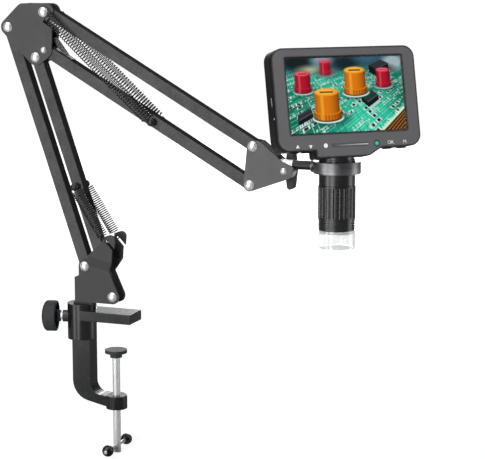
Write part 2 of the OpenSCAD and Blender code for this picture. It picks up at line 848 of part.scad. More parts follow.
// Chrome block between the yoke's plates. The rod ends on its flat shoulder and turns on
// its stud.
module pivot_block() {
  half = plate_in - 0.2;
  inset = 1.6;
  color(chrome) translate([tilt_axis[0], 0, tilt_axis[1]]) difference() {
    union() {
      rod_y([0, 0], 2 * block_r, -half, half);
      translate([-shoulder_back, 0, stud_rise]) rotate([0, 90, 0])
        cylinder(d = shoulder_d, h = shoulder_back + rod_from);
      translate([inset - shoulder_back, inset - half, 0])
        cube([shoulder_back + rod_from - 2 * inset, 2 * (half - inset), stud_rise]);
    }
    translate([rod_from, -plate_out, 0]) cube([block_r, 2 * plate_out, stud_rise + rod_d]);
    rod_y([0, 0], pin_d + 2 * run_fit, -plate_out, plate_out);
  }
  color(chrome) translate([tilt_axis[0] + rod_from - 1, 0, ring_z]) rotate([0, 90, 0])
    cylinder(d = stud_d, h = stud_len + 1);
}

module extension_rod() {
  rod_end = reach - lug_out + lug_depth - 0.1;
  color(dark) translate([tilt_axis[0] + rod_from, 0, ring_z]) rotate([0, 90, 0]) difference() {
    cylinder(d = rod_d, h = rod_end - rod_from);
    translate([0, 0, -1]) cylinder(d = stud_d + 2 * run_fit, h = stud_len + stud_hole + 1);
  }
}

module ring_collar() {
  bore = barrel_d + 2 * ring_fit;
  screw_at = lug_out - 3.4;
  color(black) translate([ring_x, 0, ring_z]) difference() {
    union() {
      translate([0, 0, -ring_h / 2]) cylinder(d = ring_d, h = ring_h, $fn = 96);
      translate([-lug_out, 0, 0]) rotate([0, 90, 0])
        cylinder(d = lug_d, h = lug_out - bore / 2 + 0.6);
    }
    translate([0, 0, -ring_h]) cylinder(d = bore, h = 2 * ring_h, $fn = 96);
    translate([-lug_out - 1, 0, 0]) rotate([0, 90, 0])
      cylinder(d = rod_d + 2 * run_fit, h = lug_depth + 1);
    translate([-screw_at, -lug_d, -1.2]) rotate([-90, 0, 0]) cylinder(d = 4.2, h = lug_d);
  }
}

module collar_screw() {
  screw_at = lug_out - 3.4;
  seat = sqrt(pow(rod_d / 2 + run_fit, 2) - pow(1.2, 2)) + 0.1;
  color(dark) translate([ring_x - screw_at, 0, ring_z - 1.2]) rotate([90, 0, 0]) difference() {
    translate([0, 0, seat]) cylinder(d = 4, h = lug_d / 2 + 0.6 - seat);
    translate([0, 0, lug_d / 2 - 0.6]) cylinder(d = 2.3, h = 3, $fn = 6);
  }
}

// ---- Microscope body ------------------------------------------------------

// Places children in the frame of the lens barrel: its axis is Z, the ring at 0.
module in_head() {
  translate([ring_x, 0, ring_z]) rotate([0, 0, head_turn]) children();
}

// Places children in the frame of the display: origin in the middle of its front,
// X right, Y into the body, Z up the display.
module in_panel() {
  in_head() translate(panel_pos) rotate([-head_lean, 0, 0]) children();
}

// The barrel's frame seen from the display's frame.
module head_from_panel() {
  rotate([head_lean, 0, 0]) translate(-panel_pos) children();
}

module body_outline() {
  chin_z = -panel_down - chin_drop;
  r = corner_r;
  side = panel_w / 2 - r;
  polygon(belt([
    [-side, -panel_down + r, r], [chin_left, -panel_down, 0], [chin_left + 2, chin_z + 2, 2],
    [chin_flat - 3, chin_z + 8, 8], [chin_end + 3, -panel_down - 7, -7],
    [side, -panel_down + r, r], [side, panel_up - r, r], [-side, panel_up - r, r]]));
}

// Inside of the body behind its walls.
module body_cavity() {
  w = shell_wall;
  side = panel_w / 2 - w;
  polygon(rounded(-side, side, -panel_down + w, panel_up - w, corner_r - w));
  translate([chin_left + w, -panel_down - chin_drop + w])
    square([chin_flat - chin_left - w - 6, chin_drop]);
}

// Hole for the neck, through the underside of both shells.
module neck_hole(d) {
  head_from_panel() cylinder(d = d, h = 40, $fn = 96, center = true);
}

// Places of the keys in the underside: [x, z of the wall's outer face, width of the key].
key_places = [
  [-panel_w / 2 + 20.7, -panel_down, key_w], [-panel_w / 2 + 34.1, -panel_down, key_w],
  [chin_left + 9.3, -panel_down - chin_drop, key_w - 2.5],
  [panel_w / 2 - 34.2, -panel_down, key_w], [panel_w / 2 - 17.8, -panel_down, key_w]];

boss_d_shell = 6;
lcd_side_rim = 3.9;
lcd_end_rim = 1.2;
lcd_t = 3.5;

module front_bezel() {
  color(bezel_grey) in_panel() difference() {
    union() {
      difference() {
        slab(0, bezel_t) body_outline();
        slab(face_t, bezel_t + 1) body_cavity();
      }
      for (x = [-1, 1], z = boss_screw_z)
        rod_y([x * boss_screw_x, z], boss_d_shell, face_t - tiny, bezel_t);
    }
    slab(-1, face_t + 1) square([screen_w + 2 * seat_fit, screen_h + 2 * seat_fit], center = true);
    for (x = [-1, 1], z = boss_screw_z)
      rod_y([x * boss_screw_x, z], 2.4, face_t + 1, bezel_t + 1);
    neck_hole(neck_d + 2 * seat_fit);
    rod_y(led_place, led_d + 2 * run_fit, -1, face_t + 1);
    slab(-1, strip_depth) translate([strip_from, led_place[1] - strip_h / 2])
      square([strip_len, strip_h]);
    usb_cut();
    charge_cut();
  }
}

// Column behind the chin and around the lens barrel, from z0 to z1 along the barrel.
module hump(d, z0, z1, chin_gap) {
  intersection() {
    head_from_panel() translate([0, 0, z0]) cylinder(d = d, h = z1 - z0, $fn = 96);
    translate([-panel_w / 2, chin_gap > 0 ? 0 : panel_t - 1, -panel_down - chin_drop + chin_gap])
      cube(panel_w);
  }
}

module rear_shell() {
  color(dark) in_panel() difference() {
    union() {
      difference() {
        slab(bezel_t, panel_t) body_outline();
        slab(bezel_t - 1, panel_t - shell_wall) body_cavity();
      }
      hump(hump_d, hump_bottom, hump_top, 0);
      for (x = [-1, 1], z = boss_screw_z)
        rod_y([x * boss_screw_x, z], boss_d_shell, bezel_t, panel_t - shell_wall + tiny);
      for (p = board_posts) rod_y(p, post_d, board_y + board_t, panel_t - shell_wall + tiny);
    }
    hump(hump_d - 2 * shell_wall, hump_bottom + shell_wall, hump_top - shell_wall, shell_wall);
    neck_hole(neck_d + 2 * seat_fit);
    for (x = [-1, 1], z = boss_screw_z) {
      rod_y([x * boss_screw_x, z], 2.4 + 2 * seat_fit, bezel_t - 1, panel_t + 1);
      rod_y([x * boss_screw_x, z], 5, panel_t - 1.5, panel_t + 1);
    }
    for (k = key_places)
      translate([k[0] - k[2] / 2 - seat_fit, key_y - key_depth / 2 - seat_fit, k[1] - 1])
        cube([k[2] + 2 * seat_fit, key_depth + 2 * seat_fit, shell_wall + 2]);
    usb_cut();
    charge_cut();
    translate([panel_w / 2 - 5, board_y + board_t - seat_fit, card_z - 0.5])
      cube([10, 2, card_w + 1]);
  }
}

module shell_screws() {
  color(chrome) in_panel() for (x = [-1, 1], z = boss_screw_z) {
    rod_y([x * boss_screw_x, z], 2.4, face_t + 1.3, panel_t - 1.5);
    difference() {
      rod_y([x * boss_screw_x, z], 4.6, panel_t - 1.5, panel_t - 0.2);
      slab(panel_t - 0.9, panel_t) translate([x * boss_screw_x, z]) {
        square([2.8, 0.6], center = true);
        square([0.6, 2.8], center = true);
      }
    }
  }
}

module screen_glass() {
  color([0.05, 0.05, 0.06]) in_panel() slab(face_t - glass_t, face_t)
    square([screen_w, screen_h], center = true);
}

module lcd_panel() {
  color([0.2, 0.5, 0.5]) in_panel() slab(face_t, face_t + lcd_t)
    square([screen_w + 2 * lcd_side_rim, screen_h + 2 * lcd_end_rim], center = true);
}

board_side_gap = 13.5;
board_top_gap = 13.5;
board_low_gap = 22.5;
board_x = panel_w / 2 - board_side_gap;
board_top = panel_up - board_top_gap;
board_low = -panel_down + board_low_gap;
post_in = 9;
post_d = 5;
board_posts = [for (x = [-1, 1], z = [board_low + post_in, board_top - post_in])
  [x * (board_x - post_in), z]];

// Board with its processor, memory and a row of small parts on its back.
module main_board() {
  back = board_y + board_t - tiny;
  chip = 14;
  chip_t = 1.2;
  memory_w = 12;
  memory_h = 9;
  part_w = 4;
  part_pitch = 7;
  row_gap = 12;
  row_rise = 6;
  row_x = post_in - board_x + row_gap;
  color(board_green) in_panel() {
    translate([-board_x, board_y, board_low]) cube([2 * board_x, board_t, board_top - board_low]);
    translate([-2 * chip, back, -chip]) cube([chip, chip_t, chip]);
    translate([chip, back, board_low + row_rise]) cube([memory_w, chip_t, memory_h]);
    for (i = [0 : 3]) translate([row_x + i * part_pitch, back, board_low + row_rise])
      cube([part_w, chip_t, part_w / 2]);
  }
}

battery_w = 84;
battery_h = 30;
battery_t = 4;

// Flat cell that is bonded to the inside of the rear shell, above the hump.
module battery() {
  color([0.6, 0.6, 0.62]) in_panel()
    translate([-battery_w / 2, panel_t - shell_wall - battery_t, panel_up - battery_h - 6])
      cube([battery_w, battery_t, battery_h]);
}

switch_w = 6;
switch_h = 2.6;
switch_lift = 3.6;
key_board_t = 1.4;

// Boards with one switch above each key, held in the grooves of the rear shell.
module key_boards() {
  front = key_y - switch_w / 2 - 0.5;
  depth = panel_t - shell_wall - front;
  margin = switch_w / 2 + 4;
  groups = [[0, 1], [2, 2], [3, 4]];
  color(board_green) in_panel() for (g = groups) {
    first = key_places[g[0]];
    last = key_places[g[1]];
    side = g[0] == g[1] ? switch_w / 2 + 0.8 : margin;
    board_z = first[1] + shell_wall + switch_lift + switch_h;
    translate([first[0] - side, front, board_z])
      cube([last[0] - first[0] + 2 * side, depth, key_board_t]);
    for (i = [g[0] : g[1]])
      translate([key_places[i][0] - switch_w / 2, key_y - switch_w / 2, board_z - switch_h])
        cube([switch_w, switch_w, switch_h + tiny]);
  }
}

flange_rim = 0.8;
key_flange_t = 1.2;
plunger_w = 3;

// One key: its cap stands out of the underside, its flange rests inside the wall.
module key(k) {
  color(black) in_panel() translate([k[0], key_y, k[1]]) {
    translate([-k[2] / 2, -key_depth / 2, -key_out])
      cube([k[2], key_depth, key_out + shell_wall + key_flange_t]);
    translate([-k[2] / 2 - flange_rim, -key_depth / 2 - flange_rim, shell_wall])
      cube([k[2] + 2 * flange_rim, key_depth + 2 * flange_rim, key_flange_t]);
    translate([-plunger_w / 2, -plunger_w / 2, shell_wall + 1])
      cube([plunger_w, plunger_w, switch_lift - key_top_gap - 1]);
  }
}

module up_key() { key(key_places[0]); }
module down_key() { key(key_places[1]); }
module capture_key() { key(key_places[2]); }
module ok_key() { key(key_places[3]); }
module menu_key() { key(key_places[4]); }

led_d = 4;
led_place = [28.9, -50.2];
charge_d = 2;
charge_z = -21;
charge_y = 5;
strip_from = -20.8;
strip_len = 40;
strip_h = 1.2;
strip_depth = 0.5;
usb_z = -8.9;
usb_w = 9;
usb_h = 3.2;
usb_y = face_t + lcd_t + 0.3;
card_z = 4;
card_w = 12;

module charge_cut() {
  translate([-panel_w / 2 - 1, charge_y, charge_z]) rotate([0, 90, 0])
    cylinder(d = charge_d + 2 * run_fit, h = 4);
}

module usb_cut() {
  translate([-panel_w / 2 - 1, usb_y - seat_fit, usb_z - seat_fit])
    cube([6, usb_h + 2 * seat_fit, usb_w + 2 * seat_fit]);
}

// Lens of the status lamp in the bezel, and of the charging lamp in its left wall.
module indicator_lenses() {
  color([0.1, 0.7, 0.65]) in_panel() {
    rod_y(led_place, led_d, 0, face_t + 0.6);
    translate([-panel_w / 2 + 0.2, charge_y, charge_z]) rotate([0, 90, 0])
      cylinder(d = charge_d, h = 2.4);
  }
}

module accent_strip() {
  color(chrome) in_panel() slab(0, strip_depth)
    translate([strip_from, led_place[1] - strip_h / 2]) square([strip_len, strip_h]);
}

// Connector for power and data, its shell standing on a small board of its own.
module usb_port() {
  from = 0.4 - panel_w / 2;
  depth = 7;
  wall = 0.4;
  board_from = from + 2.6;
  color(chrome) in_panel() {
    difference() {
      translate([from, usb_y, usb_z]) cube([depth, usb_h, usb_w]);
      translate([from - 1, usb_y + wall, usb_z + wall])
        cube([depth, usb_h - 2 * wall, usb_w - 2 * wall]);
    }
    translate([from + 1, usb_y + 1.2, usb_z + 1.4]) cube([depth - 1.5, 0.8, usb_w - 2.8]);
    translate([board_from, usb_y + usb_h - tiny, usb_z])
      cube([-board_x - seat_fit - board_from, 1, usb_w]);
  }
}

// Memory card connector on the back of the main board.
module card_slot() {
  color(chrome) in_panel() difference() {
    translate([panel_w / 2 - 18, board_y + board_t, card_z]) cube([16.4, 1.7, card_w]);
    translate([panel_w / 2 - 14, board_y + board_t + 0.4, card_z + 0.5])
      cube([14, 0.9, card_w - 1]);
  }
}

// ---- Lens barrel ----------------------------------------------------------

// Ring with outer diameter d, bore b, from z0 to z1.
module tube(d, b, z0, z1) {
  difference() {
    translate([0, 0, z0]) cylinder(d = d, h = z1 - z0, $fn = 96);
    translate([0, 0, z0 - 1]) cylinder(d = b, h = z1 - z0 + 2, $fn = 96);
  }
}

module neck_flange() {
  color(black) in_head() {
    tube(neck_d, sleeve_bore, shoulder_z, neck_step);
    tube(barrel_d - 0.8, sleeve_bore, shoulder_z, shoulder_z + neck_foot_h);
    tube(neck_small_d, neck_small_d - 5, neck_step - tiny, neck_top);
  }
}

module sensor_board() {
  color(board_green) in_head() {
    translate([0, 0, neck_top]) cylinder(d = neck_small_d, h = 1.4);
    translate([-5.5, -5.5, neck_top - 1.8]) cube([11, 11, 1.8 + tiny]);
    translate([-6, -2, neck_top + 1.4 - tiny]) cube([12, 4, 1.2]);
  }
}

guide_w = 2;

module barrel_tube() {
  color(black) in_head() difference() {
    union() {
      tube(barrel_d, sleeve_bore, grip_top + 0.3, shoulder_z);
      tube(sleeve_out, sleeve_bore, grip_bottom, grip_top + 0.3 + tiny);
    }
    translate([0, 0, grip_bottom + 8]) for (a = [0, 180]) rotate(a)
      translate([0, -guide_w / 2 - run_fit, 0]) cube([sleeve_out, guide_w + 2 * run_fit, 18]);
  }
}

// Grip that turns on the inner sleeve and moves the lens cell.
module focus_ring() {
  z0 = grip_bottom + 0.2;
  z1 = grip_top;
  flute_r = 1.5;
  color(black) in_head() difference() {
    tube(grip_d, sleeve_out + 2 * run_fit, z0, z1);
    for (i = [0 : flutes - 1]) rotate(i * 360 / flutes)
      translate([grip_d / 2 + flute_r - 0.8, 0, z0 + 1.6])
        cylinder(r = flute_r, h = z1 - z0 - 3.2, $fn = 24);
    tube(sleeve_out + 3.2, sleeve_out - 2, z0 + 6, z1 - 6);
  }
}

cell_len = 20;
cell_z = grip_bottom + 5;

module lens_cell() {
  color(dark) in_head() {
    difference() {
      tube(sleeve_bore - 2 * run_fit, sleeve_bore - 6, cell_z, cell_z + cell_len);
      for (z = [cell_z + 2, cell_z + cell_len - 4])
        translate([0, 0, z]) cylinder(d = sleeve_bore - 5, h = 2);
    }
    for (a = [0, 180]) rotate(a) translate([sleeve_bore / 2 - 1, 0, cell_z + cell_len / 2])
      rotate([0, 90, 0]) cylinder(d = guide_w, h = sleeve_wall + 2);
  }
}

module lens_elements() {
  color([0.75, 0.85, 0.95]) in_head() for (z = [cell_z + 2, cell_z + cell_len - 4])
    translate([0, 0, z]) cylinder(d = sleeve_bore - 5, h = 2);
}

spigot_h = 3;

module barrel_nose() {
  bore = sleeve_bore - 4;
  color(black) in_head() difference() {
    union() {
      tube(barrel_d, bore, nose_bottom, grip_bottom);
      tube(hood_d - 2 * hood_wall, bore, nose_bottom - spigot_h, nose_bottom + tiny);
    }
    for (z = [grip_bottom - 3 : -2.6 : nose_bottom + 2])
      tube(barrel_d + 2, barrel_d - 1.2, z - 0.6, z + 0.2);
  }
}

module led_board() {
  z = nose_bottom - spigot_h;
  color([0.9, 0.9, 0.9]) in_head() {
    tube(hood_d - 2 * hood_wall - 1, sleeve_bore - 9, z - 1.2, z);
    for (a = [0 : 45 : 315]) rotate(a) translate([(hood_d + sleeve_bore) / 4 - 3.4, -1.4, z - 2.2])
      cube([2.8, 2.8, 1 + tiny]);
  }
}

// Clear hood around the lamps, open at the bottom.
module lamp_hood() {
  color([0.9, 0.95, 1, 0.5]) in_head()
    tube(hood_d, hood_d - 2 * hood_wall + 2 * run_fit, hood_bottom, nose_bottom);
}

// ---- All nodes ------------------------------------------------------------

clamp_frame();
clamp_screw();
clamp_pad();
tommy_bar();
tommy_balls();
lock_knob();
lock_screw();
base_spigot();
base_bracket();
base_rivets();
base_washers();
lower_bar_left();
lower_bar_right();
lower_spring_post();
lower_springs();
elbow_bracket();
elbow_rivets();
elbow_bolt();
elbow_washers();
upper_bar_top();
upper_bar_bottom();
upper_spring_post();
stop_tongue();
upper_springs();
head_bracket();
head_rivets();
head_washers();
tilt_bolt();
wing_knob();
pivot_block();
extension_rod();
ring_collar();
collar_screw();
front_bezel();
rear_shell();
shell_screws();
screen_glass();
lcd_panel();
main_board();
battery();
key_boards();
up_key();
down_key();
capture_key();
ok_key();
menu_key();
indicator_lenses();
accent_strip();
usb_port();
card_slot();
neck_flange();
sensor_board();
barrel_tube();
focus_ring();
lens_cell();
lens_elements();
barrel_nose();
led_board();
lamp_hood();
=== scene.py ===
"""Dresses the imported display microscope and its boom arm: finishes, springs, picture, studio."""

import logging
import math
from dataclasses import dataclass, replace
from enum import Enum

import bmesh
import bpy
import numpy as np
from bmesh.types import BMEdge, BMesh, BMFace, BMVert
from bpy.types import Camera, Light, Material, Node, NodeSocket, NodeTree, Object
from mathutils import Matrix, Vector


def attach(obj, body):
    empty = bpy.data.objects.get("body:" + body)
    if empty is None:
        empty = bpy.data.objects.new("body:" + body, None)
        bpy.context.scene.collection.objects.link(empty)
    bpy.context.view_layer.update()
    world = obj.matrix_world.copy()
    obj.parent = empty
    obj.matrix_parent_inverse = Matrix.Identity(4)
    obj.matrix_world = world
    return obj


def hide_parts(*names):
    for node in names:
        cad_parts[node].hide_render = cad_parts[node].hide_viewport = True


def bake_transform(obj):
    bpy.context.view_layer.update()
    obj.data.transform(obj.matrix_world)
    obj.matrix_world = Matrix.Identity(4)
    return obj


LOG = logging.getLogger("microscope")
MM = 0.001
WHITE = (1.0, 1.0, 1.0, 1.0)
# Stands what lies in the XY plane upright, with its own up along Z.
UPRIGHT = Matrix.Rotation(math.pi / 2, 4, "X")

# The arm's pivots in the XZ plane, in millimetres.
ELBOW_TOP = Vector((-32.367, 0.0, 329.002))
UPPER_POST = Vector((89.822, 0.0, 217.111))
LOWER_POST = Vector((0.342, 0.0, 144.867))
LOWER_ANCHOR = Vector((35.902, 0.0, 89.954))
RING_CENTRE = Vector((287.93, 0.0, 178.42))
# How the display stands over its ring: its turn and lean, the height that it leans from, and
# its shift to the right, to the front and up.
HEAD_TURN = math.radians(44.7)
HEAD_LEAN = math.radians(12.0)
LEAN_FROM = 16.0
HEAD_RIGHT = 6.2
HEAD_FORWARD = 20.0
HEAD_RISE = 73.2
# The display's own places, in millimetres: x to the right, y into the body, z up.
STATUS_LAMP = (28.9, 0.0, -50.2)
STRIP_ENDS = ((-20.8, 0.0, -50.2), (19.2, 0.0, -50.2))

# What fine grain and slow drift give to a surface's tone, and where most of that tone lies.
GRAIN_SHARE = 0.6
DRIFT_SHARE = 0.4
TONE_SPAN = (0.3, 0.7)
# Least roughness, and how far it goes to each side of its middle value.
SMOOTHEST = 0.02
ROUGH_SPREAD = 0.05
# Rays that soften the edges, the cosines of how far they turn a normal where the painted edge
# highlight begins and where it is full, and the gain and lift of the highlight's colour.
EDGE_RAYS = 6
HIGHLIGHT_SPAN = (0.995, 0.8)
HIGHLIGHT_GAIN = 1.6
HIGHLIGHT_LIFT = 0.08
# The kinds of ray that the eye follows, also through glass.
EYE_RAYS = ("Camera", "Transmission")
# A wave texture at this scale has one band in each unit of length.
BAND_SCALE = 0.314


class Side(Enum):
    """The two sides of the arm's middle plane."""

    FRONT = -1
    REAR = 1


class LoopTurn(Enum):
    """How a spring's far loop stands to its near one, in degrees."""

    IN_LINE = 0
    CROSSED = 90


def linear(colour: str) -> tuple[float, float, float, float]:
    """Turns an sRGB hex colour to linear RGBA.

    Args:
        colour: Six hex digits after a hash.

    Returns:
        The linear colour with full alpha.
    """
    parts = [int(colour[k : k + 2], 16) / 255 for k in (1, 3, 5)]
    rgb = [p / 12.92 if p <= 0.04045 else ((p + 0.055) / 1.055) ** 2.4 for p in parts]
    return (rgb[0], rgb[1], rgb[2], 1.0)


def panel_frame() -> Matrix:
    """Gives the display's own frame, in metres: x to the right, y into the body, z up."""
    back = -HEAD_FORWARD + (HEAD_RISE - LEAN_FROM) * math.tan(HEAD_LEAN)
    return (
        Matrix.Translation(RING_CENTRE * MM)
        @ Matrix.Rotation(HEAD_TURN, 4, "Z")
        @ Matrix.Translation(Vector((HEAD_RIGHT, back, HEAD_RISE)) * MM)
        @ Matrix.Rotation(-HEAD_LEAN, 4, "X")
    )


def on_panel(place: tuple[float, float, float]) -> Vector:
    """Turns a place on the display, in its own millimetres, to metres in the model's frame."""
    return panel_frame() @ (Vector(place) * MM)


def feed(node: Node, inputs: dict | tuple) -> None:
    """Sets a node's inputs.

    Args:
        node: The node.
        inputs: Sockets that feed them or plain values, by name or in the order of those in use.
    """
    if isinstance(inputs, tuple):
        pairs = list(zip([socket for socket in node.inputs if socket.enabled], inputs))
    else:
        pairs = [(node.inputs[name], value) for name, value in inputs.items()]
    for socket, value in pairs:
        if isinstance(value, NodeSocket):
            node.id_data.links.new(value, socket)
        else:
            socket.default_value = value


def add_node(
    tree: NodeTree, kind: str, inputs: dict | tuple = (), output: str = "", **settings: object
) -> NodeSocket:
    """Adds a shader node with its settings and links.

    Args:
        tree: The node tree of the material or world.
        kind: The node's type name after ShaderNode, such as TexNoise.
        inputs: Sockets or plain values, by name or in the order of the inputs in use.
        output: The name of the output that is wanted, or else the first in use.
        settings: The node's own settings.

    Returns:
        The output's socket.
    """
    node = tree.nodes.new("ShaderNode" + kind)
    for name, value in settings.items():
        setattr(node, name, value)
    feed(node, inputs)
    return node.outputs[output] if output else next(s for s in node.outputs if s.enabled)


@dataclass(frozen=True)
class Finish:
    """A finish with an even colour whose tone drifts a little, as on any real surface."""

    name: str
    colour: str
    roughness: float
    metallic: float = 0.0
    gloss: float = 0.5
    edge_mm: float = 0.5
    # How much lighter the edges are painted: a painted highlight.
    edge_highlight: float = 0.25
    tone: float = 0.10
    tone_mm: float = 14.0
    grain_mm: float = 0.5
    bump_mm: float = 0.02
    glow: float = 0.0

    def make(self) -> Material:
        """Makes the material.

        Returns:
            The material, ready for a piece's slot.
        """
        material = bpy.data.materials.new(self.name)
        material.use_nodes = True
        shader = material.node_tree.nodes["Principled BSDF"]
        plain = {
            "Base Color": linear(self.colour),
            "Roughness": self.roughness,
            "Metallic": self.metallic,
            "Specular IOR Level": self.gloss,
            "Emission Color": linear(self.colour),
            "Emission Strength": self.glow,
        }
        feed(shader, plain)
        self.dress(material.node_tree, shader)
        return material

    def dress(self, tree: NodeTree, shader: Node) -> None:
        """Adds tone, grain, soft edges and a painted edge highlight to the shader.

        Args:
            tree: Its node tree.
            shader: Its main shader.
        """
        relief = self.pattern(tree)
        rounded = add_node(tree, "Bevel", {"Radius": self.edge_mm * MM}, samples=EDGE_RAYS)
        level = self.level(tree, relief)
        low = max(SMOOTHEST, self.roughness - ROUGH_SPREAD)
        high = min(1.0, self.roughness + ROUGH_SPREAD)
        depth = {"Height": relief, "Distance": self.bump_mm * MM, "Normal": rounded}
        surface = {
            "Base Color": self.tint(tree, level, rounded),
            "Roughness": add_node(tree, "MapRange", (level, *TONE_SPAN, low, high)),
            "Normal": add_node(tree, "Bump", {"Strength": 1.0, **depth}),
        }
        feed(shader, surface)

    def pattern(self, tree: NodeTree) -> NodeSocket:
        """Gives the fine relief of the surface, from 0 to 1.

        Args:
            tree: Its node tree.

        Returns:
            The socket with the relief.
        """
        place = add_node(tree, "TexCoord", output="Object")
        size = {"Vector": place, "Scale": 1 / (self.grain_mm * MM), "Detail": 3.0}
        return add_node(tree, "TexNoise", size)

    def level(self, tree: NodeTree, relief: NodeSocket) -> NodeSocket:
        """Mixes the fine relief with a slow drift of tone.

        Args:
            tree: Its node tree.
            relief: The fine relief, from 0 to 1.

        Returns:
            The socket with the tone, mostly within TONE_SPAN.
        """
        place = add_node(tree, "TexCoord", output="Object")
        size = {"Vector": place, "Scale": 1 / (self.tone_mm * MM), "Detail": 2.0}
        drift = add_node(tree, "TexNoise", size)
        slow = add_node(tree, "Math", (drift, DRIFT_SHARE), operation="MULTIPLY")
        return add_node(tree, "Math", (relief, GRAIN_SHARE, slow), operation="MULTIPLY_ADD")

    def tint(self, tree: NodeTree, level: NodeSocket, rounded: NodeSocket) -> NodeSocket:
        """Gives the colour: the tone's drift, and a painted highlight that lightens the edges.

        Args:
            tree: Its node tree.
            level: The tone.
            rounded: The normal of the softened edges.

        Returns:
            The socket with the colour.
        """
        # Painted highlight: the colour turns lighter where the softened normal leans from the true
        # one.
        true = add_node(tree, "NewGeometry", output="Normal")
        turned = add_node(tree, "VectorMath", (rounded, true), operation="DOT_PRODUCT")
        share = add_node(tree, "MapRange", (turned, *HIGHLIGHT_SPAN, 0.0, self.edge_highlight))
        base = linear(self.colour)[:3]
        highlight_hue = (*(min(1.0, c * HIGHLIGHT_GAIN + HIGHLIGHT_LIFT) for c in base), 1.0)
        body = self.drift(tree, level, self.colour)
        return add_node(tree, "Mix", (share, body, highlight_hue), data_type="RGBA")

    def drift(self, tree: NodeTree, level: NodeSocket, colour: str) -> NodeSocket:
        """Spreads one colour between a darker and a lighter tone.

        Args:
            tree: Its node tree.
            level: The tone.
            colour: The middle colour.

        Returns:
            The socket with the colour.
        """
        base = linear(colour)[:3]
        dark = (*(c * (1 - self.tone) for c in base), 1.0)
        light = (*(min(1.0, c * (1 + self.tone)) for c in base), 1.0)
        share = add_node(tree, "MapRange", (level, *TONE_SPAN))
        return add_node(tree, "Mix", (share, dark, light), data_type="RGBA")


@dataclass(frozen=True)
class TurnedMetal(Finish):
    """Metal turned on a lathe with its axis upright, whose tool marks are fine rings."""

    ring_mm: float = 0.8
    around_mm: float = 250.0

    def pattern(self, tree: NodeTree) -> NodeSocket:
        """Gives rings that are even round the axis and uneven along it.

        Args:
            tree: Its node tree.

        Returns:
            The socket with the relief.
        """
        place = add_node(tree, "TexCoord", output="Object")
        across, along = 1 / (self.around_mm * MM), 1 / (self.ring_mm * MM)
        flat = add_node(tree, "Mapping", {"Vector": place, "Scale": (across, across, along)})
        return add_node(tree, "TexNoise", {"Vector": flat, "Scale": 1.0, "Detail": 2.0})


@dataclass(frozen=True)
class ScrewThread(Finish):
    """Plated steel bar with a fine thread round an upright axis."""

    pitch_mm: float = 1.25

    def pattern(self, tree: NodeTree) -> NodeSocket:
        """Gives the thread's flanks as even bands along the axis.

        Args:
            tree: Its node tree.

        Returns:
            The socket with the relief.
        """
        place = add_node(tree, "TexCoord", output="Object")
        size = (place, BAND_SCALE / (self.pitch_mm * MM))
        return add_node(tree, "TexWave", size, "Fac", bands_direction="Z")


@dataclass(frozen=True)
class FacedPlastic(Finish):
    """Moulded front frame: satin on its face, gloss black where it turns to the sides."""

    side_colour: str = "#111112"
    face_span: tuple[float, float] = (0.965, 0.998)

    def tint(self, tree: NodeTree, level: NodeSocket, rounded: NodeSocket) -> NodeSocket:
        """Gives the face's colour where the softened surface looks to the front.

        Args:
            tree: Its node tree.
            level: The tone.
            rounded: The normal of the softened edges.

        Returns:
            The socket with the colour.
        """
        front = panel_frame().to_3x3() @ Vector((0.0, -1.0, 0.0))
        ways = {"vector_type": "NORMAL", "convert_from": "WORLD", "convert_to": "OBJECT"}
        own = add_node(tree, "VectorTransform", (rounded,), **ways)
        facing = add_node(tree, "VectorMath", (own, front), operation="DOT_PRODUCT")
        share = add_node(tree, "MapRange", (facing, *self.face_span))
        hues = (self.drift(tree, level, hue) for hue in (self.side_colour, self.colour))
        return add_node(tree, "Mix", (share, *hues), data_type="RGBA")


@dataclass(frozen=True)
class HighlightedStrip(Finish):
    """Strip whose colour runs evenly from one end to the other, white at its far end as a painted
    highlight.
    """

    highlight_colour: str = "#ffffff"

    def tint(self, tree: NodeTree, level: NodeSocket, rounded: NodeSocket) -> NodeSocket:
        """Gives the colour by the place along the strip.

        Args:
            tree: Its node tree.
            level: The tone.
            rounded: The normal of the softened edges.

        Returns:
            The socket with the colour.
        """
        first, last = (on_panel(end) for end in STRIP_ENDS)
        along = (last - first).normalized()
        place = add_node(tree, "TexCoord", output="Object")
        reach = add_node(tree, "VectorMath", (place, along), operation="DOT_PRODUCT")
        share = add_node(tree, "MapRange", (reach, first.dot(along), last.dot(along)))
        # Painted highlight: the colour runs from the frame's grey to white along the strip.
        hues = (self.drift(tree, level, hue) for hue in (self.colour, self.highlight_colour))
        return add_node(tree, "Mix", (share, *hues), data_type="RGBA")


@dataclass(frozen=True)
class Clear(Finish):
    """Glass or clear plastic, a little uneven so that it glints."""

    ior: float = 1.49
    clearness: float = 1.0
    uneven: float = 0.3

    def dress(self, tree: NodeTree, shader: Node) -> None:
        """Lets the light through and adds a slight waviness.

        Args:
            tree: Its node tree.
            shader: Its main shader.
        """
        place = add_node(tree, "TexCoord", output="Object")
        size = {"Vector": place, "Scale": 1 / (self.grain_mm * MM)}
        noise = add_node(tree, "TexNoise", size)
        ends = (self.roughness * (1 - self.uneven), self.roughness * (1 + self.uneven))
        rough = add_node(tree, "MapRange", (noise, 0.0, 1.0, *ends))
        clear = {"IOR": self.ior, "Transmission Weight": self.clearness, "Roughness": rough}
        feed(shader, clear)


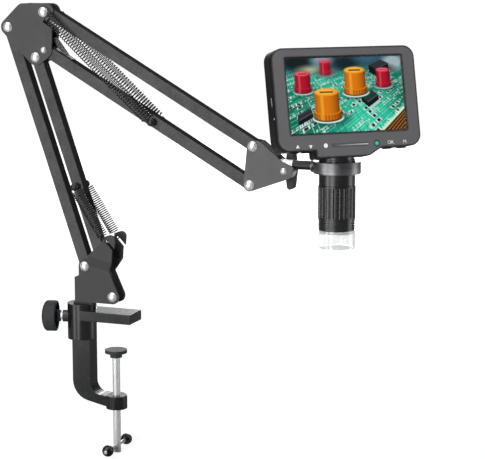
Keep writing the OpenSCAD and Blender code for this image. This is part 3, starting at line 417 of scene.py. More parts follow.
@dataclass(frozen=True)
class Glowing(Finish):
    """Translucent lens lit from behind, brightest at its middle."""

    reach_mm: float = 3.0
    strength: float = 1.0
    rim_share: float = 0.45
    other_colour: str = "#ffffff"
    other_mm: float = 22.0

    def dress(self, tree: NodeTree, shader: Node) -> None:
        """Adds a glow that fades outwards, and another colour for the lamp in the side wall.

        Args:
            tree: Its node tree.
            shader: Its main shader.
        """
        super().dress(tree, shader)
        place = add_node(tree, "TexCoord", output="Object")
        lamp = on_panel(STATUS_LAMP)
        away = add_node(tree, "VectorMath", (place, lamp), operation="DISTANCE")
        ends = (self.strength, self.strength * self.rim_share)
        fade = add_node(tree, "MapRange", (away, 0.0, self.reach_mm * MM, *ends))
        other = add_node(tree, "Math", (away, self.other_mm * MM), operation="GREATER_THAN")
        hues = (linear(self.colour), linear(self.other_colour))
        hue = add_node(tree, "Mix", (other, *hues), data_type="RGBA")
        feed(shader, {"Emission Color": hue, "Emission Strength": fade})


@dataclass(frozen=True)
class LitPicture(Finish):
    """Liquid crystal display lit from behind, with a fine grid between its dots."""

    dot_mm: float = 0.5
    between: float = 0.94

    def dress(self, tree: NodeTree, shader: Node) -> None:
        """Shows the picture that is kept in the mesh's colours.

        Args:
            tree: Its node tree.
            shader: Its main shader.
        """
        picture = add_node(tree, "Attribute", attribute_name="picture")
        place = add_node(tree, "TexCoord", output="Object")
        size = (place, BAND_SCALE / (self.dot_mm * MM))
        rows = add_node(tree, "TexWave", size, "Fac", bands_direction="Z")
        dim = add_node(tree, "MapRange", (rows, 0.0, 1.0, self.between, 1.0))
        feed(shader, {"Emission Color": picture, "Emission Strength": dim})


# Fine powder coat on steel, sprayed and baked: a tight orange peel and a satin sheen.
ARM_COAT = Finish(
    "powder_coat_grey", "#606060", 0.72, gloss=0.0, grain_mm=1.1, bump_mm=0.03, tone=0.32,
    edge_mm=0.8, edge_highlight=0.4,
)
PLATE_COAT = Finish(
    "powder_coat_plate", "#5d5d5d", 0.70, gloss=0.1, grain_mm=0.9, bump_mm=0.03, tone=0.14,
    edge_mm=0.8, edge_highlight=0.3,
)
# The plate coat again, only lighter on the head bracket: painted light.
HEAD_COAT_LIT = replace(PLATE_COAT, name="powder_coat_painted_lighter", colour="#707070")
BASE_COAT = Finish(
    "powder_coat_dark", "#515151", 0.62, gloss=0.15, grain_mm=0.7, bump_mm=0.03
)
# Gloss black enamel on die-cast metal: smooth, with long soft reflections.
CLAMP_ENAMEL = Finish(
    "gloss_black_enamel", "#1d1e1f", 0.24, grain_mm=2.5, bump_mm=0.004,
    edge_mm=0.9, edge_highlight=0.3,
)
# Bright zinc plate with a clear passivate: silver with a milky white body under its shine.
CHROME = Finish(
    "bright_zinc_plate", "#f8f8fa", 0.30, 0.6, edge_highlight=0.0, tone=0.03, bump_mm=0.002
)
CHROME_THREAD = ScrewThread(
    "bright_zinc_thread", "#fafafc", 0.30, 0.5, edge_highlight=0.0, tone=0.05, bump_mm=0.03
)
# Cold-drawn spring wire, black phosphated: grey glints on near-black.
SPRING_WIRE = Finish(
    "phosphated_spring_wire", "#505053", 0.30, 0.85, edge_highlight=0.0, tone=0.25, tone_mm=3.0
)
# Black oxide on mild steel: a thin, oily, slightly uneven film.
BLACK_STEEL = Finish("black_oxide_steel", "#2b2b2d", 0.36, 0.5, tone=0.2, tone_mm=4.0)
# Glass-filled nylon from a spark-eroded mould: matt, with a fine even grain.
KNOB_NYLON = Finish(
    "moulded_nylon", "#383a3c", 0.55, gloss=0.3, grain_mm=0.6, bump_mm=0.05, tone=0.12
)
# Phenolic resin, moulded and tumbled: deep gloss black.
BALL_RESIN = Finish("phenolic_resin", "#111112", 0.14, grain_mm=2.0, bump_mm=0.004, tone=0.2)
# ABS, moulded and sprayed satin on its face, with gloss black sides.
BEZEL_ABS = FacedPlastic(
    "satin_abs_grey", "#818183", 0.46, gloss=0.25, grain_mm=0.35, bump_mm=0.012, tone=0.04,
    edge_mm=3.2,
)
SHELL_ABS = Finish(
    "gloss_abs_shell", "#161617", 0.32, grain_mm=0.6, bump_mm=0.012, edge_highlight=0.1
)
KEY_ABS = Finish("gloss_abs_key", "#1a1a1c", 0.3, bump_mm=0.01)
# Chemically tempered float glass: smooth and hard.
COVER_GLASS = Clear("tempered_glass", "#ffffff", 0.02, gloss=0.4, grain_mm=30.0, ior=1.45)
# Coated crown glass of the microscope's lens.
LENS_GLASS = Clear("coated_lens_glass", "#dfe9ff", 0.02, grain_mm=20.0, ior=1.52)
# Clear acrylic, moulded with a fine frost, with a faint painted glow in place of light through it.
HOOD_ACRYLIC = Clear(
    "frosted_acrylic_painted_glow", "#f7f8f9", 0.10, grain_mm=9.0, clearness=0.9, glow=0.14
)
# Glass-fibre board under green or white solder mask.
BOARD_MASK = Finish(
    "green_solder_mask", "#0f5a33", 0.35, grain_mm=0.9, bump_mm=0.03, tone=0.2
)
LAMP_MASK = Finish("white_solder_mask", "#f2f2ee", 0.40, grain_mm=0.9, tone=0.05)
# Polarising film over the display's cell: black when it isn't lit.
PANEL_FILM = Finish("polariser_film", "#08090a", 0.30, grain_mm=0.6)
# Aluminium laminate foil of a pouch cell.
CELL_FOIL = Finish("cell_foil", "#b9babd", 0.33, 0.9, grain_mm=3.0, bump_mm=0.05, tone=0.08)
# Bright nickel on a pressed steel shell.
NICKEL = Finish("nickel_plate", "#c9c8c4", 0.22, 1.0, edge_highlight=0.0, tone=0.06)
# Aluminium, turned and black anodised: satin black with fine rings.
BARREL_ALU = TurnedMetal(
    "black_anodised_aluminium", "#1c1c1e", 0.28, 0.2, gloss=0.8, bump_mm=0.008, tone=0.15,
    edge_mm=0.4, edge_highlight=0.45,
)
COLLAR_ALU = TurnedMetal(
    "brushed_anodised_aluminium", "#747476", 0.36, 1.0, bump_mm=0.03, tone=0.7, ring_mm=1.2
)
# Polycarbonate lens with a lamp behind it: glows from its middle.
TEAL_LENS = Glowing(
    "polycarbonate_lens", "#2fb5ae", 0.30, reach_mm=2.2, strength=0.9, grain_mm=0.6
)
# A shallow groove whose colour runs from the frame's own grey to white: a painted highlight.
STRIP_HIGHLIGHT = HighlightedStrip("strip_painted_highlight", "#5c5c5e", 0.35, grain_mm=0.6, tone=0.03)
# White ink, pad printed: matt, and a little uneven where it dried, with a painted glow that keeps
# it bright.
WHITE_INK = Finish(
    "pad_print_ink_painted_glow", "#f4f4f2", 0.6, grain_mm=0.3, edge_highlight=0.0, tone=0.03, glow=0.45
)
# The lit picture behind the cover glass.
PICTURE = LitPicture("lit_display", "#020202", 0.9, gloss=0.0)

NODE_FINISHES: dict[Finish, tuple[str, ...]] = {
    CLAMP_ENAMEL: ("clamp_frame",),
    CHROME: (
        "tommy_bar", "lock_screw", "base_rivets", "elbow_rivets", "elbow_bolt",
        "head_rivets", "pivot_block", "tilt_bolt", "shell_screws",
        "base_washers", "elbow_washers", "head_washers",
    ),
    CHROME_THREAD: ("clamp_screw",),
    BALL_RESIN: ("tommy_balls",),
    KNOB_NYLON: ("lock_knob", "wing_knob", "clamp_pad"),
    ARM_COAT: ("lower_bar_left", "lower_bar_right", "upper_bar_top", "upper_bar_bottom"),
    PLATE_COAT: ("elbow_bracket",),
    HEAD_COAT_LIT: ("head_bracket",),
    BASE_COAT: ("base_bracket",),
    BLACK_STEEL: (
        "base_spigot", "lower_spring_post", "upper_spring_post", "stop_tongue",
        "extension_rod", "collar_screw",
    ),
    SPRING_WIRE: ("lower_springs", "upper_springs"),
    COLLAR_ALU: ("ring_collar",),
    BARREL_ALU: ("neck_flange", "barrel_tube", "barrel_nose", "focus_ring", "lens_cell"),
    BEZEL_ABS: ("front_bezel",),
    SHELL_ABS: ("rear_shell",),
    KEY_ABS: ("up_key", "down_key", "capture_key", "ok_key", "menu_key"),
    COVER_GLASS: ("screen_glass",),
    LENS_GLASS: ("lens_elements",),
    HOOD_ACRYLIC: ("lamp_hood",),
    PANEL_FILM: ("lcd_panel",),
    BOARD_MASK: ("main_board", "key_boards", "sensor_board"),
    LAMP_MASK: ("led_board",),
    CELL_FOIL: ("battery",),
    NICKEL: ("usb_port", "card_slot"),
    TEAL_LENS: ("indicator_lenses",),
    STRIP_HIGHLIGHT: ("accent_strip",),
}


def dress_nodes(nodes: dict[str, Object]) -> None:
    """Gives every carried-over node its finish.

    Args:
        nodes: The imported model's nodes by name.
    """
    for finish, names in NODE_FINISHES.items():
        material = finish.make()
        for name in names:
            data = nodes[name].data
            data.materials.clear()
            data.materials.append(material)
            LOG.info("%s is finished in %s", name, finish.name)


def make_piece(name: str, mesh: BMesh, place: Matrix, finish: Material) -> Object:
    """Turns a bmesh to a finished piece with its place in its mesh.

    Args:
        name: The piece's name.
        mesh: The piece's bmesh, freed here.
        place: Where it goes, in metres.
        finish: Its material.

    Returns:
        The object, linked to the scene.
    """
    mesh.transform(place)
    data = bpy.data.meshes.new(name)
    mesh.to_mesh(data)
    mesh.free()
    data.materials.append(finish)
    piece = bpy.data.objects.new(name, data)
    bpy.context.scene.collection.objects.link(piece)
    return piece


def joined(parts: list[BMesh]) -> BMesh:
    """Joins meshes to one.

    Args:
        parts: The meshes, freed here.

    Returns:
        The whole.
    """
    whole, spare = bmesh.new(), bpy.data.meshes.new("spare")
    for part in parts:
        part.to_mesh(spare)
        part.free()
        whole.from_mesh(spare)
    bpy.data.meshes.remove(spare)
    return whole


class BoardView:
    """The display's picture: a circuit board seen at a slant, drawn in code as a colour grid."""

    # The lit sheet, the distance between its points, and its depth behind the display's front.
    width = 128.6
    height = 74.1
    step = 0.5
    depth = 1.97
    # The slant: the horizon's and the near edge's height, the board's reach and its turn.
    horizon = 75.0
    near_row = -37.75
    reach = 112.0
    turn = math.radians(33.0)
    # What the random draws start from, the waves in a cloud, and the factors that scatter
    # the numbers of neighbouring cells.
    seed = 11
    waves = 9
    mixers = (12.9898, 78.233, 37.719, 43758.5453)
    # Pitch of the tracks, half their width as a share of it, and the lengths of their bright
    # and their dark runs.
    track = 3.2
    track_half = 0.16
    runs = (23.0, 27.0)
    # Sides of the cells that small parts and printed outlines stand in.
    part_cell = (11.0, 7.0)
    print_cell = (29.0, 19.0)
    # Distance where the haze begins, and how far on it is full.
    haze = (1.75, 0.9)
    # Where the board's face ends at the near side, and where its rim ends over the contacts.
    board_end = -18.6
    rim_end = -21.0
    # How far a chip's legs reach and how closely they stand, and the layers of its height.
    legs = 4.2
    leg_rate = 2.4
    layers = 12

    def __init__(self) -> None:
        """Lays out the grid's places and their places on the board."""
        self.columns, self.rows = round(self.width / self.step), round(self.height / self.step)
        across = np.linspace(-self.width / 2, self.width / 2, self.columns + 1)
        upward = np.linspace(-self.height / 2, self.height / 2, self.rows + 1)
        self.x, self.z = np.meshgrid(across, upward)
        self.image = np.zeros((*self.x.shape, 3))
        self.noise = np.random.default_rng(self.seed)
        self.far = (self.horizon - self.near_row) / (self.horizon - self.z)

    @staticmethod
    def shade(colour: str) -> np.ndarray:
        """Turns a hex colour to red, green and blue from 0 to 1."""
        return np.array([int(colour[k : k + 2], 16) / 255 for k in (1, 3, 5)])

    def lay(self, mask: np.ndarray, colour: str | np.ndarray, share: float = 1.0) -> None:
        """Paints a colour where the mask says.

        Args:
            mask: How much of each place is covered, from 0 to 1.
            colour: The colour, or one for each place.
            share: How much the paint covers.
        """
        paint = self.shade(colour) if isinstance(colour, str) else colour
        cover = np.clip(mask, 0, 1)[..., None] * share
        self.image = self.image * (1 - cover) + paint * cover

    def blob(self, x: float, z: float, wide: float, high: float, soft: float = 0.6) -> np.ndarray:
        """Gives the mask of an ellipse, from its middle, half sides and the blur of its edge."""
        away = np.sqrt(((self.x - x) / wide) ** 2 + ((self.z - z) / high) ** 2) - 1
        return np.clip(0.5 - away * min(wide, high) / soft, 0, 1)

    def cloud(self, size: float) -> np.ndarray:
        """Gives a smooth random field from 0 to 1.

        Args:
            size: Rough size of its spots.

        Returns:
            The field.
        """
        field = np.zeros_like(self.x)
        for _ in range(self.waves):
            way = self.noise.uniform(0, 2 * math.pi)
            phase = self.noise.uniform(0, 2 * math.pi)
            length = size * self.noise.uniform(0.6, 1.7)
            field += np.sin((self.x * math.cos(way) + self.z * math.sin(way)) / length + phase)
        return np.clip(0.5 + field / self.waves, 0, 1)

    def on_board(self, lift: float = 0.0) -> tuple[np.ndarray, np.ndarray]:
        """Gives each place's position on the board's own axes.

        Args:
            lift: Height over the board at the picture's near edge.

        Returns:
            The positions along and across the board's rows.
        """
        far = (self.horizon - self.near_row) / (self.horizon - self.z + lift)
        across, away = self.x * far, (far - 1) * self.reach
        cos, sin = math.cos(self.turn), math.sin(self.turn)
        return across * cos + away * sin, away * cos - across * sin

    def chance(self, first: np.ndarray, second: np.ndarray, salt: float) -> np.ndarray:
        """Gives each cell of the board its own fixed number from 0 to 1.

        Args:
            first: The cell's number along.
            second: The cell's number across.
            salt: Tells one use from another.

        Returns:
            The numbers.
        """
        one, two, three, gain = self.mixers
        mixed = np.sin(first * one + second * two + salt * three) * gain
        return mixed - np.floor(mixed)

    @staticmethod
    def cells(places: np.ndarray, pitch: float) -> tuple[np.ndarray, np.ndarray]:
        """Gives each place's cell at a pitch, and its distance from the cell's middle."""
        number = np.floor(places / pitch)
        return number, np.abs(places / pitch - number - 0.5)

    def board(self) -> None:
        """Paints the board with its tracks, pads, vias and small parts."""
        along, across = self.on_board()
        glow = self.cloud(16.0)[..., None]
        self.image = self.shade("#04684f") * (1 - glow) + self.shade("#3fdcb4") * glow
        # Bright tracks along the board, in runs, and dark ones across it.
        (lane, off), (run, _) = self.cells(across, self.track), self.cells(along, self.runs[0])
        there = (self.chance(lane, run, 1.0) > 0.35) & (self.chance(lane, run, 2.0) < 0.9)
        self.lay((off < self.track_half) & there, "#8df0da", 0.55)
        (lane, _), (run, off) = self.cells(across, self.runs[1]), self.cells(along, self.track)
        there = self.chance(lane, run, 3.0) > 0.62
        self.lay((off < self.track_half) & there, "#0a6f5c", 0.6)
        # Vias: a tinned ring round a dark hole.
        (cell, beside), (row, above) = (self.cells(way, 2 * self.track) for way in (along, across))
        away, there = np.hypot(beside, above), self.chance(cell, row, 4.0) > 0.7
        self.lay((away < 0.17) & there, "#f3f7ef", 0.9)
        self.lay((away < 0.07) & there, "#1d3b35", 0.9)
        # Small parts between their bright ends.
        (cell, beside), (row, above) = map(self.cells, (along, across), self.part_cell)
        part = self.chance(cell, row, 5.0) > 0.78
        self.lay(part & (beside < 0.36) & (above < 0.30), "#eef3ee", 0.95)
        self.lay(part & (beside < 0.22) & (above < 0.26), "#23262a")
        # White print: outlines of parts, rows of marks beside them, and a haze towards the back.
        (cell, beside), (row, above) = map(self.cells, (along, across), self.print_cell)
        frame = (np.maximum(beside, above) < 0.40) & ((beside > 0.38) | (above > 0.37))
        self.lay(frame & (self.chance(cell, row, 6.0) > 0.45), "#f4fbf6", 0.8)
        signs = np.sin(along * 3.1) + np.sin(along * 1.3) > 0.2
        self.lay((np.abs(above - 0.44) < 0.045) & signs & (beside < 0.34), "#ffffff", 0.75)
        haze = np.clip((self.far - self.haze[0]) / self.haze[1], 0, 1)
        self.lay(haze, "#1c6f68", 0.55)

    def front_edge(self) -> None:
        """Paints the board's near edge and the gilt contacts under it."""
        along, across = self.on_board()
        ribs = 0.5 + 0.5 * np.sin(along * 2.1)
        rows = 0.5 + 0.5 * np.sin(across * 2.6)
        dark, bright = self.shade("#2a1204"), self.shade("#f0a53c")
        gilt = dark + (ribs * rows)[..., None] * (bright - dark)
        self.lay(across < self.rim_end, gilt)
        self.lay((across >= self.rim_end) & (across < self.board_end), "#d8f3dc", 0.9)

    def chip(self, place: tuple[float, float], size: tuple[float, float], lift: float) -> None:
        """Paints a black chip with two rows of bright legs.

        Args:
            place: Its middle on the board's own axes.
            size: Its sides along and across.
            lift: Its height.
        """
        along, across = self.on_board()
        wide, deep = size[0] / 2, size[1] / 2
        legs = (np.abs(along - place[0]) < wide) & (np.abs(across - place[1]) < deep + self.legs)
        self.lay(legs & (np.sin(along * self.leg_rate) > 0), "#e9eef0", 0.95)
        for height in np.linspace(0, lift, self.layers):
            along, across = self.on_board(float(height))
            over = (np.abs(along - place[0]) < wide) & (np.abs(across - place[1]) < deep)
            self.lay(over, "#0c0e10" if height < lift else "#2d3136")
        rim = over & (np.abs(np.abs(across - place[1]) - deep + 1.4) < 0.5)
        self.lay(rim, "#6b7278", 0.6)

    def can(
        self,
        place: tuple[float, float],
        size: tuple[float, float],
        hues: tuple[str, str, str],
        soft: float,
    ) -> None:
        """Paints an upright part: a foot ring, a ribbed collar, a round body and its cap.

        Args:
            place: Middle of its foot in the picture.
            size: Its radius and height.
            hues: Its dark, middle and light colours.
            soft: Width of its edges' blur.
        """
        (x, z), (radius, tall) = place, size
        flat = 0.30 * radius
        dark, body, light = (self.shade(hue) for hue in hues)
        shadow = self.blob(x + 0.2 * radius, z - flat * 0.5, 1.5 * radius, 1.7 * flat, 5.0)
        self.lay(shadow, "#06463c", 0.8)
        self.lay(self.blob(x, z - 0.05 * tall, 1.30 * radius, 1.30 * flat, soft), "#eef4ee", 0.95)
        self.lay(self.blob(x, z - 0.01 * tall, 1.18 * radius, 1.20 * flat, soft), "#16302d")
        # Collar and body: share of the radius, lower and upper end, and depth of the ribs.
        for share, low, high, ribs in ((1.12, 0.02, 0.22, 0.35), (1.0, 0.22, 0.86, 0.06)):
            side = np.clip((self.x - x) / (radius * share), -1, 1)
            round_off = np.sqrt(np.clip(1 - side**2, 0, 1))
            tone = 0.30 + 0.70 * np.clip(round_off - 0.25 * side, 0, 1)
            tone *= 1 - ribs * (0.5 + 0.5 * np.sin(np.arcsin(side) * 26))
            gleam = np.exp(-(((side + 0.42) / 0.13) ** 2)) * 0.55
            paint = dark + tone[..., None] * (body - dark)
            paint = paint + gleam[..., None] * (light - paint)
            bottom, top = z + low * tall, z + high * tall
            dip = flat * share * round_off
            reaches = (radius * share - np.abs(self.x - x), self.z - bottom + dip, top - self.z)
            inside, above, below = (np.clip(reach / soft + 0.5, 0, 1) for reach in reaches)
            cap = self.blob(x, top, radius * share, flat * share, soft)
            self.lay(inside * above * below, paint)
            self.lay(cap, body + 0.35 * (light - body))
        top = z + 0.86 * tall
        shine = self.blob(x - 0.1 * radius, top + 0.1 * flat, 0.8 * radius, 0.75 * flat, 1.2)
        self.lay(shine, light, 0.7)
        slot = (np.abs(self.z - top) < 0.16 * flat) & (np.abs(self.x - x) < 0.55 * radius)
        self.lay(slot, dark, 0.8)

    def backdrop(self) -> None:
        """Paints what lies far off and out of focus."""
        self.lay(np.clip((self.z - 17) / 14, 0, 1), "#1d3f4c", 0.85)
        spots = (
            (-52.0, 33.0, 15.0, 8.0, "#0f1518"), (-24.0, 35.0, 11.0, 6.0, "#8fb4c6"),
            (2.0, 31.0, 13.0, 7.0, "#101c22"), (27.0, 36.0, 14.0, 5.0, "#39617a"),
            (55.0, 31.0, 12.0, 8.0, "#b9c8cc"), (44.0, 25.0, 9.0, 3.0, "#0b1114"),
            (-38.0, 26.0, 10.0, 3.0, "#d9c59a"), (13.0, 24.0, 7.0, 2.5, "#2b8f7f"),
        )
        for x, z, wide, high, hue in spots:
            self.lay(self.blob(x, z, wide, high, 6.0), hue, 0.85)

    def draw(self) -> np.ndarray:
        """Paints the whole picture from far to near.

        Returns:
            Linear red, green, blue and alpha for each point of the grid, row by row from below.
        """
        red, orange = ("#37030d", "#b80f27", "#ff7c84"), ("#4a1d02", "#e27c08", "#ffcb52")
        self.board()
        self.backdrop()
        self.can((-21.0, 21.5), (5.6, 14.0), red, 3.5)
        self.chip((140.0, 62.0), (46.0, 24.0), 7.0)
        self.can((43.0, 8.0), (7.6, 18.0), red, 1.2)
        self.can((-47.0, 5.0), (8.4, 19.5), red, 0.9)
        self.chip((54.0, 16.0), (24.0, 14.0), 4.5)
        self.can((11.0, 2.5), (11.6, 25.0), orange, 0.7)
        self.chip((-36.0, 45.0), (17.0, 10.0), 4.0)
        self.front_edge()
        self.can((-22.0, -21.5), (13.4, 28.5), orange, 0.6)
        self.image = np.clip(self.image, 0, 1)
        bright = ((self.image + 0.055) / 1.055) ** 2.4
        lit = np.where(self.image <= 0.04045, self.image / 12.92, bright)
        return np.concatenate([lit, np.ones((*lit.shape[:2], 1))], axis=2).reshape(-1, 4)

    def build(self) -> None:
        """Makes the lit sheet between the display's cell and its cover glass."""
        sheet = bmesh.new()
        bmesh.ops.create_grid(sheet, x_segments=self.columns, y_segments=self.rows, size=1.0)
        bmesh.ops.scale(sheet, verts=sheet.verts, vec=(self.width / 2, self.height / 2, 1.0))
        sheet.verts.sort(key=lambda v: round(v.co.y / self.step) * self.width * 2 + v.co.x)
        place = Matrix.Scale(MM, 4) @ Matrix.Translation((0.0, self.depth, 0.0)) @ UPRIGHT
        piece = make_piece("display_picture", sheet, panel_frame() @ place, PICTURE.make())
        colours = piece.data.attributes.new("picture", "FLOAT_COLOR", "POINT")
        colours.data.foreach_set("color", self.draw().astype(np.float32).ravel())
        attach(piece, "microscope")
        LOG.info("display_picture has %d x %d points", self.columns + 1, self.rows + 1)


@dataclass
class KeyMarks:
    """Printed marks over the keys, a hair proud of the frame. Sizes in millimetres."""

    thick: float = 0.06
    row: float = -50.0
    up_x: float = -58.8
    down_x: float = -44.7
    dot_x: float = -28.2
    words: tuple[tuple[str, float], ...] = (("OK", 44.6), ("M", 60.7))
    mark: float = 2.3
    dot: float = 2.2
    dot_sides: int = 32
    letter: float = 5.0

    def disc(self, x: float, radius: float, sides: int = 3, turned: float = 0.0) -> BMesh:
        """Makes a flat mark with even sides.

        Args:
            x: Its place along the row.
            radius: Its radius.
            sides: How many sides.
            turned: Its turn in degrees.

        Returns:
            The mark's mesh in the frame's own axes.
        """
        mesh = bmesh.new()
        bmesh.ops.create_cone(
            mesh, cap_ends=True, segments=sides, radius1=radius, radius2=radius, depth=self.thick
        )
        turn = Matrix.Rotation(math.radians(turned), 4, "Z")
        mesh.transform(Matrix.Translation((x, 0.0, self.row)) @ UPRIGHT @ turn)
        return mesh

    def word(self, text: str, x: float) -> BMesh:
        """Makes a printed word.

        Args:
            text: The word.
            x: Its middle along the row.

        Returns:
            The word's mesh in the frame's own axes.
        """
        curve = bpy.data.curves.new(text, "FONT")
        curve.body, curve.size, curve.extrude = text, self.letter, self.thick / 2
        curve.align_x, curve.align_y = "CENTER", "CENTER"
        holder = bpy.data.objects.new(text, curve)
        bpy.context.scene.collection.objects.link(holder)
        bpy.context.view_layer.update()
        flat = holder.evaluated_get(bpy.context.evaluated_depsgraph_get()).to_mesh()
        mesh = bmesh.new()
        mesh.from_mesh(flat)
        bpy.data.objects.remove(holder)
        bpy.data.curves.remove(curve)
        bmesh.ops.remove_doubles(mesh, verts=mesh.verts, dist=1e-4)
        mesh.transform(Matrix.Translation((x, 0.0, self.row)) @ UPRIGHT)
        return mesh

    def build(self) -> None:
        """Makes all marks as one piece on the frame's face."""
        marks = [
            self.disc(self.up_x, self.mark),
            self.disc(self.down_x, self.mark, turned=180.0),
            self.disc(self.dot_x, self.dot, self.dot_sides),
            *(self.word(text, x) for text, x in self.words),
        ]
        place = panel_frame() @ Matrix.Scale(MM, 4)
        piece = make_piece("key_marks", joined(marks), place, WHITE_INK.make())
        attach(piece, "microscope")
        LOG.info("key_marks has %d marks", len(marks))


class WireTube:
    """A wire of round section, grown by straight runs and spins."""

    sides = 10

    def __init__(self, start: Vector, diameter: float) -> None:
        """Starts the wire with its end face, heading along +X.

        Args:
            start: Middle of the end face.
            diameter: The wire's diameter.
        """
        self.mesh = bmesh.new()
        bmesh.ops.create_circle(
            self.mesh,
            cap_ends=True,
            segments=self.sides,
            radius=diameter / 2,
            matrix=Matrix.Translation(start) @ Matrix.Rotation(math.pi / 2, 4, "Y"),
        )
        self.ring = [*self.mesh.verts, *self.mesh.edges]

    def turn(
        self, centre: Vector, axis: Vector, angle: float, steps: int, rise: Vector = Vector()
    ) -> None:
        """Spins the wire's end round an axis, with an even rise for a coil.

        Args:
            centre: A point on the axis.
            axis: The axis's direction.
            angle: The turn in radians.
            steps: Steps of the turn.
            rise: Travel along the axis over the whole turn.
        """
        made = bmesh.ops.spin(
            self.mesh,
            geom=self.ring,
            cent=centre,
            axis=axis,
            dvec=rise / steps,
            angle=angle,
            steps=steps,
            use_merge=False,
            use_duplicate=False,
        )
        self.ring = [g for g in made["geom_last"] if not isinstance(g, BMFace)]

    def ring_edges(self) -> list[BMEdge]:
        """Gives the edges round the wire's end."""
        return [g for g in self.ring if isinstance(g, BMEdge)]

    def run(self, way: Vector) -> None:
        """Draws the wire straight on.

        Args:
            way: The run's direction and length.
        """
        made = bmesh.ops.extrude_edge_only(self.mesh, edges=self.ring_edges())
        self.ring = [g for g in made["geom"] if not isinstance(g, BMFace)]
        verts = [g for g in self.ring if isinstance(g, BMVert)]
        bmesh.ops.translate(self.mesh, verts=verts, vec=way)

    def close(self) -> BMesh:
        """Caps the wire's end.

        Returns:
            The closed mesh, with its faces outwards.
        """
        bmesh.ops.contextual_create(self.mesh, geom=self.ring_edges())
        bmesh.ops.remove_doubles(self.mesh, verts=self.mesh.verts, dist=1e-5)
        bmesh.ops.recalc_face_normals(self.mesh, faces=self.mesh.faces)
        for face in self.mesh.faces:
            face.smooth = True
        return self.mesh


@dataclass
class BalanceSpring:
    """One extension spring with a hook loop at each end. Sizes in millimetres."""

    name: str
    near: Vector
    far: Vector
    near_gap: float
    far_gap: float
    pitch: float
    far_loop: LoopTurn
    coil_d: float = 12.0
    wire_d: float = 1.2
    loop_r: float = 3.5
    loop_turn: float = 350.0
    loop_steps: int = 28
    # Distance from the arm's middle plane to the spring's line.
    out: float = 14.3
    # Straight start, radius of the bend into the coil, and the coil's distance from its gaps.
    start: float = 0.6
    bend: float = 1.2
    lead: float = 1.0
    # Least number of rounds, and the steps of a round, of the bend and of the way to the coil.
    least_rounds: int = 4
    round_steps: int = 20
    bend_steps: int = 5
    meet_steps: int = 8

    def wind(self) -> BMesh:
        """Winds the spring along +X from its near end.

        Returns:
            The spring's mesh in millimetres.
        """
        length = (self.far - self.near).length
        radius, bend = (self.coil_d - self.wire_d) / 2, self.bend
        # The wire bends off the spring's line, then round to where it meets the coil's circle.
        theta = 2 * math.atan(radius / bend)
        small = -radius * math.cos(theta) / (1 - math.cos(theta))
        x_axis, z_axis = Vector((1, 0, 0)), Vector((0, 0, 1))
        near_x, far_x = self.near_gap + self.lead, length - self.far_gap - self.lead
        wire = WireTube(Vector((near_x - bend - self.start, 0.0, 0.0)), self.wire_d)
        wire.run(Vector((self.start, 0, 0)))
        wire.turn(Vector((near_x - bend, bend, 0)), z_axis, math.pi / 2, self.bend_steps)
        wire.turn(Vector((near_x, bend, small)), x_axis, theta, self.meet_steps)
        rounds = max(self.least_rounds, round((far_x - near_x) / self.pitch))
        angle = 2 * math.pi * rounds + 2 * math.pi - 2 * theta - math.radians(self.far_loop.value)
        rise, steps = Vector((far_x - near_x, 0, 0)), rounds * self.round_steps
        wire.turn(Vector((near_x, 0, 0)), x_axis, angle, steps, rise)
        return wire.close()

    def loop(self, x: float, turned: float) -> BMesh:
        """Makes one hook loop round a pin.

        Args:
            x: Its middle along the spring.
            turned: Its turn about the spring's line, in radians.

        Returns:
            The loop's mesh in millimetres.
        """
        wire = WireTube(Vector((0.0, 0.0, self.loop_r)), self.wire_d)
        wire.turn(Vector(), Vector((0, 1, 0)), math.radians(self.loop_turn), self.loop_steps)
        made = wire.close()
        made.transform(Matrix.Translation((x, 0, 0)) @ Matrix.Rotation(turned, 4, "X"))
        return made

    def build(self, side: Side, finish: Material) -> Object:
        """Makes the spring at one side of the arm.

        Args:
            side: Which side of the middle plane.
            finish: The wire's material.

        Returns:
            The finished piece.
        """
        along = self.far - self.near
        place = (
            Matrix.Scale(MM, 4)
            @ Matrix.Translation(self.near + Vector((0, side.value * self.out, 0)))
            @ Matrix.Rotation(-math.atan2(along.z, along.x), 4, "Y")
        )
        far_loop = self.loop(along.length, math.radians(self.far_loop.value))
        whole = joined([self.wind(), self.loop(0.0, 0.0), far_loop])
        return make_piece(f"{self.name}_{side.name.lower()}", whole, place, finish)


@dataclass
class BalanceSprings:
    """The two pairs of springs that carry the arm's weight."""

    upper: BalanceSpring
    lower: BalanceSpring

    def build(self) -> None:
        """Winds all four springs and hides the model's springs that they replace."""
        finish = SPRING_WIRE.make()
        for side in Side:
            upper = self.upper.build(side, finish)
            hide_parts("upper_springs")
            self.follow(
                upper, ("elbow", "upper_link_bottom"), (ELBOW_TOP, UPPER_POST), (0.0, 0.35), 0.1
            )
            lower = self.lower.build(side, finish)
            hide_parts("lower_springs")
            self.follow(
                lower, ("base", "lower_link_right"), (LOWER_ANCHOR, LOWER_POST), (0.0, 0.9), -0.7
            )
            LOG.info("%s and %s are wound", upper.name, lower.name)

    @staticmethod
    def follow(
        piece: Object,
        bodies: tuple[str, str],
        ends: tuple[Vector, Vector],
        zone: tuple[float, float],
        slant: float,
    ) -> None:
        """Bakes the spring's place into its mesh.

        Args:
            piece: The spring.
            bodies: The bodies at its first and second end; not used.
            ends: Its two ends in millimetres; not used.
            zone: Where the bend begins and ends, as shares of its length; not used.
            slant: Lean of the bend across the spring, which keeps the coils
                as wide as they are when the arm swings far; not used.
        """
        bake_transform(piece)


@dataclass(frozen=True)
class SoftPanel:
    """A white panel of the studio that only mirrors show, as a span of compass directions."""

    bearing: float
    half_width: float
    strength: float


